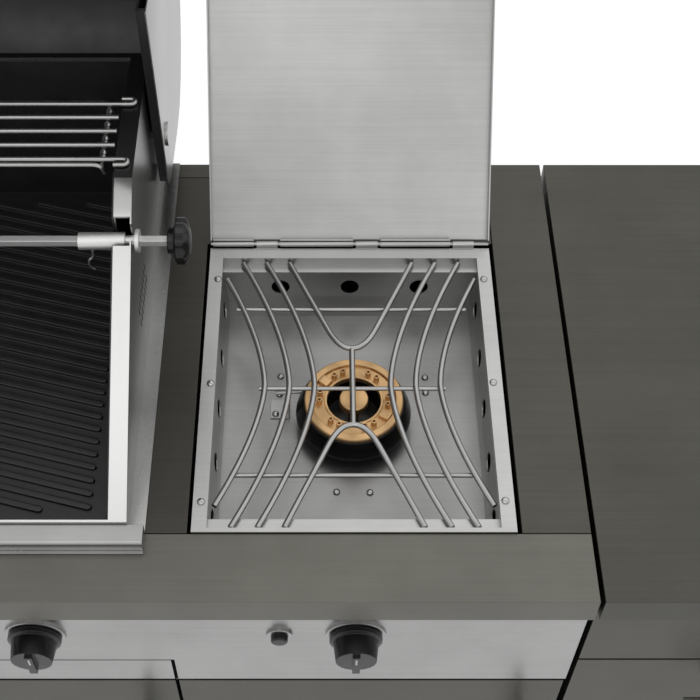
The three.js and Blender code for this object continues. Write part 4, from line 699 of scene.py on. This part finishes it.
# %% [markdown]
# ## Painted light on the sides of one sheet
# The grill's housing and the tub are brushed in more than one direction, and each side mirrors another part
# of the studio. So the sloped rims, the level rims, the upright sides and the tub's floor get a finish of
# their own, whose tone is painted light: a brighter tone on the sloped rims is painted highlight, a near
# black tone on the level rims is a painted dark reflection, and a darker tone on the upright sides and the
# tub's floor is painted shade. They are found by the way that a face looks and by its height.

# %% Sides with painted highlight, painted reflection and painted shade
LEVEL_RIM_OVER_DECK = 0.15
TUB_FLOOR_UNDER_DECK = 0.05


def on_upright_side(face):
    return abs(face.normal.x) > 0.7


def on_sloped_rim(face):
    return 0.5 < face.normal.z < 0.97 and face.normal.y < -0.2


def on_level_rim(face):
    return face.normal.z > 0.97 and face.center.z > DECK + LEVEL_RIM_OVER_DECK


def on_tub_floor(face):
    return face.normal.z > 0.9 and face.center.z < DECK - TUB_FLOOR_UNDER_DECK


def faces_in(piece, finish, wanted):
    piece.data.materials.append(finish)
    index = len(piece.data.materials) - 1
    count = 0
    for face in piece.data.polygons:
        if wanted(face):
            face.material_index = index
            count += 1
    return count


housing = bpy.data.objects["rounded_grill_housing"]
tub = bpy.data.objects["rounded_burner_tub"]
# Painted shade on the upright sides and the tub's floor, painted highlight on the sloped rims, painted dark
# reflection on the level rims.
print("upright sides:", faces_in(housing, cheek_side_painted_shade, on_upright_side), "faces")
print("sloped rims:", faces_in(housing, rim_painted_highlight, on_sloped_rim), "faces")
print("level rims:", faces_in(housing, rim_painted_dark_reflection, on_level_rim), "faces")
print("tub floor:", faces_in(tub, tub_floor_painted_shade, on_tub_floor), "faces")

# %% [markdown]
# ## Wire trivet
# The pan support is bent from round wire: waisted long wires, a hairpin loop from the front and one from the
# back that meet in a middle rod, and three cross wires welded underneath. Each wire is one path, so that its
# bends are smooth, and its ends are rounded as cut and tumbled wire is.

# %% Measures of the trivet
WIRE_RADIUS = 3.25
CROSS_RADIUS = 2.5
TRIVET_MIDDLE = 165.9
TRIVET_RISE = (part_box("burner_trivet")[1].z - DECK) / MM - WIRE_RADIUS
CROSS_RISE = TRIVET_RISE - 4.85
WAISTED = ((144.5, 96.7, 110.5, 415), (126.7, 69.6, 85.5, 440), (99.3, 41.9, 85.5, 440))
WAIST_CURVE = 1.6
HALF_STEPS = 16
LOOP_ENDS = (85.5, 440)
LOOP_TIPS = (211.3, 314.2)
LOOP_HALF = 71.8
TIP_HALF = 15
CROSS_WIRES = ((150.4, 126.4), (262.0, 102.6), (373.7, 132))
print("the trivet's top wires lie", round(TRIVET_RISE, 1), "mm over the worktop")

# %% Trivet wires
wires = []
for side in (-1, 1):
    for end, waist, front, back in WAISTED:
        path = []
        for k in range(2 * HALF_STEPS + 1):
            t = k / HALF_STEPS - 1
            reach = waist + (end - waist) * abs(t) ** WAIST_CURVE
            back_way = (front + back) / 2 + t * (back - front) / 2
            path.append(tub_spot(TRIVET_MIDDLE + side * reach, back_way, TRIVET_RISE))
        wires.append(wire("trivet_wire", path, WIRE_RADIUS, 4))
for loop_end, tip in zip(LOOP_ENDS, LOOP_TIPS):
    legs = [(LOOP_HALF, loop_end), (TIP_HALF, tip)]
    corners = [tub_spot(TRIVET_MIDDLE - x, y, TRIVET_RISE) for x, y in legs]
    corners += [tub_spot(TRIVET_MIDDLE + x, y, TRIVET_RISE) for x, y in reversed(legs)]
    wires.append(wire("trivet_loop", bend_corners(corners, 30), WIRE_RADIUS, 4))
rod_ends = [tub_spot(TRIVET_MIDDLE, y, TRIVET_RISE) for y in LOOP_TIPS]
wires.append(wire("trivet_rod", rod_ends, WIRE_RADIUS, 4))
for y, reach in CROSS_WIRES:
    ends = [tub_spot(TRIVET_MIDDLE + way * reach, y, CROSS_RISE) for way in (-1, 1)]
    wires.append(wire("trivet_cross", ends, CROSS_RADIUS, 4))
trivet = finished(joined("trivet_wires", wires), steel_wire, body_of("burner_trivet"), "polished_steel", 50)
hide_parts("burner_trivet")
print("trivet wires:", len(wires))

# %% [markdown]
# ## Screws
# Six domed screws hold the tub's flange, and smaller ones hold the burner to the tub's floor. A screw is
# turned once, with a round recess pressed into its dome, and copied to every place.

# %% Domed screws
DOME = ((1, 0), (1, 0.2), (0.93, 0.5), (0.75, 0.78), (0.5, 0.95), (0.36, 1))
RECESS_RIM = 0.08
RECESS_DEPTH = 0.3


def domed_screw(name, radius, rise):
    head = lathe(name, [(radius * wide, rise * high) for wide, high in DOME], 24)
    only(head)
    bpy.ops.object.mode_set(mode="EDIT")
    bpy.ops.mesh.inset(thickness=radius * RECESS_RIM * MM)
    bpy.ops.mesh.extrude_region_move(TRANSFORM_OT_translate={"value": (0, 0, -rise * RECESS_DEPTH * MM)})
    bpy.ops.object.mode_set(mode="OBJECT")
    return head


print("helper:", domed_screw.__name__)

# %% Screws on the flange, the tub's floor and the igniter
FLANGE_SCREWS = ((10.8, 409.7), (10.3, 260.5), (8.5, 111.3), (320.6, 409.5), (320.1, 261.7), (320.7, 112.6))
FLOOR_SCREWS = ((148.4, 170.5), (185.2, 169.8), (83.6, 327.7), (82.8, 302.1), (253, 326.1), (252.7, 304.3))
IGNITER_SCREW = (78.8, 273.2)
FLANGE_RISE = 3.0
STEM_DROP = 18
TUB_FLOOR_RISE = (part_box("burner_base")[0].z - DECK) / MM + STEM_DROP
screws = []
flange_screw = domed_screw("flange_screw", 4.3, 2.6)
for across, back in FLANGE_SCREWS:
    screws.append(copied(flange_screw, tub_spot(across, back, FLANGE_RISE)))
floor_screw = domed_screw("floor_screw", 4.0, 3.0)
for across, back in FLOOR_SCREWS:
    screws.append(copied(floor_screw, tub_spot(across, back, TUB_FLOOR_RISE + 0.1)))
screws.append(copied(floor_screw, tub_spot(*IGNITER_SCREW, TUB_FLOOR_RISE + 2.2)))
bpy.data.objects.remove(flange_screw)
bpy.data.objects.remove(floor_screw)
finished(joined("tub_screws", screws), screw_steel, "island", "polished_steel")
print("screws placed:", len(screws))

# %% [markdown]
# ## Warming rack
# Three straight bars cross the fire. In front of them and behind them lies a longer bar whose ends turn back
# as a hairpin, with a thinner edge wire beside it that dips at both ends. A low cross-bar near each end
# carries them all. In the photograph a thin wire is wound round the cross-bar between the bars, which gives
# it the look of a turned spindle, so small turned beads are set between the bars there.

# %% Measures of the rack
BAR_RADIUS = 3
RACK_RISE = (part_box("warming_rack")[1].z - DECK) / MM - BAR_RADIUS
FRONT_BAR = 403.1
BAR_PITCH = 20.9
bars = [FRONT_BAR + BAR_PITCH * i for i in range(5)]
CROSS_PLACES = (120, 780)
RACK_CROSS_RADIUS = 2.6
low_rise = RACK_RISE - 4.7
print("bars lie", [round(y, 1) for y in bars], "mm back")

# %% Bars, hairpins, edge wires and cross-bars
rack = []
for y in bars[1:4]:
    rack.append(wire("rack_bar", [grill_spot(x, y, RACK_RISE) for x in (108, 792)], BAR_RADIUS))
for y, outward in ((bars[0], -1), (bars[4], 1)):
    turned = y + outward * 8
    corners = [(107, turned), (93, turned), (93, y), (807, y), (807, turned), (793, turned)]
    path = [grill_spot(x, back, RACK_RISE) for x, back in corners]
    rack.append(wire("rack_hairpin", bend_corners(path, 5.4), 2.8))
    beside = y + outward * 5.2
    dips = [(118, -15), (122, -3), (778, -3), (782, -15)]
    path = [grill_spot(x, beside, RACK_RISE + dip) for x, dip in dips]
    rack.append(wire("rack_edge", bend_corners(path, 9), 2.6))
for x in CROSS_PLACES:
    ends = [grill_spot(x, y, low_rise) for y in (bars[0] - 5, bars[4] + 5)]
    rack.append(wire("rack_cross", ends, RACK_CROSS_RADIUS))
print("rack wires:", len(rack))

# %% Beads of wound wire between the bars
BEAD = [(2.7, -8), (3.5, -5.5), (3.9, -3), (3.1, -0.6), (3.1, 0.6), (3.9, 3), (3.5, 5.5), (2.7, 8)]
bead_shape = lathe("bead", BEAD, 20)
for x in CROSS_PLACES:
    for y in bars[:-1]:
        bead = copied(bead_shape, grill_spot(x, y + BAR_PITCH / 2, low_rise))
        bead.rotation_euler = (math.radians(90), 0, 0)
        rack.append(bead)
bpy.data.objects.remove(bead_shape)
for piece in rack:
    settled(piece)
rack_wires = finished(joined("rack_wires", rack), steel_wire, body_of("warming_rack"), "polished_steel", 50)
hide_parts("warming_rack")
print("beads wound:", len(CROSS_PLACES) * (len(bars) - 1))

# %% [markdown]
# ## Spit knob and thumbscrew
# The knob is moulded plastic with eight soft lobes and a round collar. It is turned with 64 sides, and the
# rim's corners are then drawn towards the axis in steps, most of all midway between two lobes. The
# thumbscrew is a turned screw with a bent wire handle.

# %% Lobed knob
KNOB_SIDES = 64
LOBES = 8
LOBE_DEPTH = 0.07
SIDES_PER_LOBE = KNOB_SIDES // LOBES
SIDES_TO_VALLEY = SIDES_PER_LOBE // 2
RIM_WIDTH = 5
knob_low, knob_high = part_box("spit_knob")
knob_middle = (knob_low + knob_high) / 2
knob_reach = (knob_high.y - knob_low.y) / 2 / MM
knob_deep = (knob_high.x - knob_low.x) / MM
spit_knob = lathe("spit_knob_lobed", [
    (13.0, 0), (14, 0.8), (14, 6.6), (15, 7.2), (knob_reach - 2.5, 7.4), (knob_reach, 9.5),
    (knob_reach, 17.5), (knob_reach - 2.5, 20), (knob_reach * 0.55, knob_deep - 1.2),
    (knob_reach * 0.25, knob_deep),
], KNOB_SIDES)
for step in range(1, SIDES_TO_VALLEY + 1):
    only(spit_knob)
    bpy.ops.object.mode_set(mode="EDIT")
    bpy.ops.mesh.select_mode(type="VERT")
    bpy.ops.mesh.select_all(action="DESELECT")
    bpy.ops.object.mode_set(mode="OBJECT")
    for corner in spit_knob.data.vertices:
        turn = math.atan2(corner.co.y, corner.co.x) / (2 * math.pi)
        side = round(turn * KNOB_SIDES) % SIDES_PER_LOBE
        on_rim = math.hypot(corner.co.x, corner.co.y) > (knob_reach - RIM_WIDTH) * MM
        corner.select = on_rim and min(side, SIDES_PER_LOBE - side) == step
    bpy.ops.object.mode_set(mode="EDIT")
    pull = 1 - LOBE_DEPTH * (1 - math.cos(step / SIDES_TO_VALLEY * math.pi))
    bpy.ops.transform.resize(value=(pull, pull, 1), center_override=(0, 0, 0))
    bpy.ops.object.mode_set(mode="OBJECT")
shaped(spit_knob, "BEVEL", width=0.5 * MM, segments=2, limit_method="ANGLE", angle_limit=math.radians(50))
stand_at(spit_knob, (knob_low.x, knob_middle.y, knob_middle.z), (0, math.radians(90), 0))
finished(spit_knob, knob_black, body_of("spit_knob"), "black_plastic")
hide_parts("spit_knob")
print("knob reach", round(knob_reach, 1), "mm, depth", round(knob_deep, 1), "mm")

# %% Thumbscrew
THREAD_RADIUS = 2
THREAD_LONG = 13
HOOK = ((0, 22), (-6.5, 15), (-6.5, 7), (-1.5, 1.5))
screw_low, screw_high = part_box("spit_thumbscrew")
thread_x = screw_high.x - THREAD_RADIUS * MM
thread_y = (screw_low.y + screw_high.y) / 2
thread = lathe("thread", [(THREAD_RADIUS, 0), (THREAD_RADIUS, 12), (1.4, THREAD_LONG)], 16)
stand_at(thread, (thread_x, thread_y, screw_high.z - THREAD_LONG * MM))
hook = [Vector((thread_x, thread_y, screw_high.z - 11 * MM))]
for aside, rise in HOOK:
    hook.append(Vector((thread_x + aside * MM, thread_y, screw_low.z + rise * MM)))
handle = wire("hook", bend_corners(hook, 7), 1.7)
for piece in (thread, handle):
    settled(piece)
thumbscrew = finished(joined("thumbscrew_wire", [thread, handle]), bright_steel, body_of("spit_thumbscrew"),
                      "polished_steel")
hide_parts("spit_thumbscrew")
print("thumbscrew hangs", round((screw_high.z - screw_low.z) / MM, 1), "mm")

# %% [markdown]
# ## The burner
# The base is an enamelled casting with a flared rim, the ring is sand-cast brass with short tube jets in
# pairs, and a small brass cap stands in the middle. All three are lathe work, with more sides than the CAD
# model has, so that the rims look round. The ring's section is closed by bridging its last edge loop to the
# first. One jet and one ribbed block are modelled and copied round.

# %% Closed rings from the lathe


def lathe_ring(name, profile, sides=96):
    bpy.ops.object.select_all(action="DESELECT")
    radius, height = profile[0]
    bpy.ops.mesh.primitive_circle_add(vertices=sides, radius=radius * MM, fill_type="NOTHING")
    piece = bpy.context.active_object
    piece.name = name
    bpy.ops.object.mode_set(mode="EDIT")
    bpy.ops.mesh.select_mode(type="EDGE")
    bpy.ops.mesh.select_all(action="SELECT")
    bpy.ops.transform.translate(value=(0, 0, height * MM))
    for wide, high in profile[1:]:
        bpy.ops.mesh.extrude_region_move(TRANSFORM_OT_translate={"value": (0, 0, (high - height) * MM)})
        bpy.ops.transform.resize(value=(wide / radius, wide / radius, 1), center_override=(0, 0, 0))
        radius, height = wide, high
    bpy.ops.mesh.select_all(action="DESELECT")
    bpy.ops.mesh.select_non_manifold()
    bpy.ops.mesh.bridge_edge_loops()
    bpy.ops.mesh.select_all(action="SELECT")
    bpy.ops.mesh.normals_make_consistent(inside=False)
    bpy.ops.object.mode_set(mode="OBJECT")
    return piece


def edges_rounded(piece, width, angle=25, segments=3):
    shaped(piece, "BEVEL", width=width * MM, segments=segments, limit_method="ANGLE",
           angle_limit=math.radians(angle))


# %% Burner base
base_low, base_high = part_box("burner_base")
base_middle = (base_low + base_high) / 2
BASE = Vector((base_middle.x, base_middle.y, base_low.z + STEM_DROP * MM))
base_tall = (base_high.z - BASE.z) / MM
seat = base_tall - 4.5
base = lathe("burner_base_casting", [
    (15, -STEM_DROP), (15, -0.1), (38, 0), (38, 13), (60, 13.2), (65.4, 19), (64.2, 24), (58, base_tall - 2),
    (57, base_tall), (55.8, base_tall), (55.8, seat), (30.5, seat - 0.1), (30.5, 7.0), (18.5, 6.9),
], 96)
edges_rounded(base, 0.8)
stand_at(base, BASE)
finished(base, cast_black, body_of("burner_base"), "cast_iron", 30)
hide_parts("burner_base")
print("burner base stands", round(base_tall, 1), "mm over the tub's floor")

# %% Brass ring
ring_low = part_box("burner_ring")[0]
ring_rise = (ring_low.z - BASE.z) / MM
brass_ring = lathe_ring("brass_ring", [
    (30.3, 0), (55.6, 0), (55.6, 8.3), (54.4, 9.7), (47.8, 9.7), (47.2, 9.2), (46.4, 5.7), (33, 5.7),
    (33, 7.2), (30.6, 7.2), (30.3, 6.9),
])
edges_rounded(brass_ring, 0.35, 40)
stand_at(brass_ring, BASE + Vector((0, 0, ring_rise * MM)))
print("the ring lies", round(ring_rise, 1), "mm over the tub's floor")

# %% Jets in pairs
JETS = 12
JET_CIRCLE = 38.7
JET_RISE = ring_rise + 5.6
FIRST_PAIR = -4
HALF_PAIR = 8.2
ring_parts = [brass_ring]
jet = lathe("jet", [(3.2, 0), (3.2, 6.5), (2.9, 7), (1.9, 7), (1.6, 6.7), (1.5, 2)], 24)
for i in range(JETS):
    degrees = FIRST_PAIR + (i // 2) * 60 + (HALF_PAIR if i % 2 else -HALF_PAIR)
    turn = math.radians(degrees)
    around = Vector((JET_CIRCLE * math.cos(turn), JET_CIRCLE * math.sin(turn), JET_RISE)) * MM
    ring_parts.append(copied(jet, BASE + around))
bpy.data.objects.remove(jet)
print("jets:", JETS)

# %% Ribbed blocks
BLOCK_TALL = 3.6
BLOCK_CIRCLE = 40.5
BLOCK_DEGREES = (142, -31)
bpy.ops.object.select_all(action="DESELECT")
bpy.ops.mesh.primitive_grid_add(x_subdivisions=3, y_subdivisions=7, size=1)
block = bpy.context.active_object
bpy.ops.object.mode_set(mode="EDIT")
bpy.ops.mesh.select_all(action="SELECT")
bpy.ops.transform.resize(value=(12 * MM, 11 * MM, 1))
bpy.ops.mesh.extrude_region_move(TRANSFORM_OT_translate={"value": (0, 0, BLOCK_TALL * MM)})
bpy.ops.object.mode_set(mode="OBJECT")
nearly_top = (BLOCK_TALL - 0.1) * MM
rows = sorted({round(f.center.y, 5) for f in block.data.polygons if f.center.z > nearly_top})
for face in block.data.polygons:
    face.select = face.center.z > nearly_top and rows.index(round(face.center.y, 5)) % 2 == 1
bpy.ops.object.mode_set(mode="EDIT")
bpy.ops.mesh.select_mode(type="FACE")
bpy.ops.mesh.extrude_region_move(TRANSFORM_OT_translate={"value": (0, 0, 0.9 * MM)})
bpy.ops.mesh.select_all(action="SELECT")
bpy.ops.mesh.normals_make_consistent(inside=False)
bpy.ops.object.mode_set(mode="OBJECT")
edges_rounded(block, 0.25, 50, 2)
for degrees in BLOCK_DEGREES:
    turn = math.radians(degrees)
    around = Vector((BLOCK_CIRCLE * math.cos(turn), BLOCK_CIRCLE * math.sin(turn), JET_RISE)) * MM
    twin = copied(block, Vector((0, 0, 0)))
    stand_at(twin, BASE + around, (0, 0, turn))
    ring_parts.append(twin)
bpy.data.objects.remove(block)
print("blocks:", len(BLOCK_DEGREES), "with", len(rows) // 2, "ribs each")

# %% The whole ring
for piece in ring_parts:
    settled(piece)
ring_whole = joined("brass_ring_with_jets", ring_parts)
finished(ring_whole, sandy_brass, body_of("burner_ring"), "brass", 30)
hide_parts("burner_ring")
print("ring parts:", len(ring_parts))

# %% Brass cap
cap_low, cap_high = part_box("burner_cap")
cap_tall = (cap_high.z - cap_low.z) / MM
cap = lathe("brass_cap", [
    (6, 0), (6, cap_tall - 12), (15.4, cap_tall - 11.8), (16.2, cap_tall - 10.6), (16.2, cap_tall - 1.4),
    (15.4, cap_tall - 0.5), (13.5, cap_tall - 0.1), (10, cap_tall),
], 64)
stand_at(cap, Vector((BASE.x, BASE.y, cap_low.z)))
finished(cap, sandy_brass, body_of("burner_cap"), "brass", 30)
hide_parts("burner_cap")
print("cap height", round(cap_tall, 1), "mm")

# %% [markdown]
# ## Thermometer and knob marks
# The hood's thermometer has a pale dial with plain ticks and a needle, and no lettering. Each control knob
# has a raised pale pointer on its grip. A tick is one thin bar, copied round the dial.

# %% Thin bars


def thin_bar(name, wide, long, deep):
    bpy.ops.object.select_all(action="DESELECT")
    bpy.ops.mesh.primitive_cube_add(size=1)
    bar = bpy.context.active_object
    bar.name = name
    bar.scale = (wide * MM, long * MM, deep * MM)
    only(bar)
    bpy.ops.object.transform_apply(location=False, rotation=False, scale=True)
    edges_rounded(bar, min(wide, deep) * 0.3, 40, 2)
    return bar


print("helper:", thin_bar.__name__)

# %% [markdown]
# ## Where the dial faces
# The thermometer is set in the sloped hood, so its direction is read from its CAD mesh: the direction that
# most of its area shares is its flat back, and the dial faces the other way.

# %% Back of the thermometer


def rough_direction(face):
    return tuple(round(c, 2) for c in face.normal)


gauge = frame["nodes"]["hood_thermometer"].data
area_by_direction = {}
for face in gauge.polygons:
    key = rough_direction(face)
    area_by_direction[key] = area_by_direction.get(key, 0) + face.area
inward = max(area_by_direction, key=area_by_direction.get)
outward = -Vector(inward).normalized()
back_faces = [f for f in gauge.polygons if rough_direction(f) == inward]
back_area = sum(f.area for f in back_faces)
gauge_middle = sum((f.center * f.area for f in back_faces), Vector()) / back_area
print("thermometer faces", tuple(round(c, 2) for c in outward))

# %% Thermometer dial
DIAL_RISE = 7.2
TICKS = 21
TICK_CIRCLE = 25
FIRST_TICK = 225
TICK_STEP = 13.5
NEEDLE_DEGREES = 40
dial_turn = outward.to_track_quat("Z", "Y")
dial_seat = gauge_middle + outward * DIAL_RISE * MM


def laid_on_dial(piece, place, turn):
    piece.rotation_mode = "QUATERNION"
    piece.rotation_quaternion = dial_turn @ Quaternion((0, 0, 1), turn)
    piece.location = dial_seat + dial_turn @ (place * MM)
    settled(piece)


dial = lathe("dial", [(29.6, 0), (29.6, 0.4), (29.0, 0.5)], 64)
laid_on_dial(dial, Vector((0, 0, 0)), 0)
ticks = []
for i in range(TICKS):
    turn = math.radians(FIRST_TICK - i * TICK_STEP)
    wide, long = (0.7, 4) if i % 5 else (1.3, 6)
    bar = thin_bar("tick", wide, long, 0.3)
    place = Vector((math.cos(turn), math.sin(turn), 0)) * TICK_CIRCLE + Vector((0, 0, 0.6))
    laid_on_dial(bar, place, turn - math.pi / 2)
    ticks.append(bar)
needle = thin_bar("needle", 1.2, 24, 0.5)
laid_on_dial(needle, Vector((0, 0, 1.2)), math.radians(NEEDLE_DEGREES))
finished(dial, dial_white, "hood", "polished_steel")
dial.name = "thermometer_dial"
finished(joined("thermometer_ticks", ticks), knob_black, "hood", "black_plastic")
finished(needle, pointer_red, "hood", "black_plastic")
needle.name = "thermometer_needle"
print("ticks:", len(ticks))

# %% Knob pointers
POINTER_OVER_MIDDLE = 9
POINTED = ("grill_knob_1", "grill_knob_2", "grill_knob_3", "grill_knob_4", "burner_knob")
for name in POINTED:
    low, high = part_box(name)
    middle = (low + high) / 2
    bar = thin_bar("pointer", 2.0, 12, 0.6)
    place = (middle.x, low.y + 0.1 * MM, middle.z + POINTER_OVER_MIDDLE * MM)
    stand_at(bar, place, (math.radians(90), 0, 0))
    finished(bar, dial_white, name, "black_plastic")
    bar.name = "pointer_on_" + name
print("pointers set:", len(POINTED))
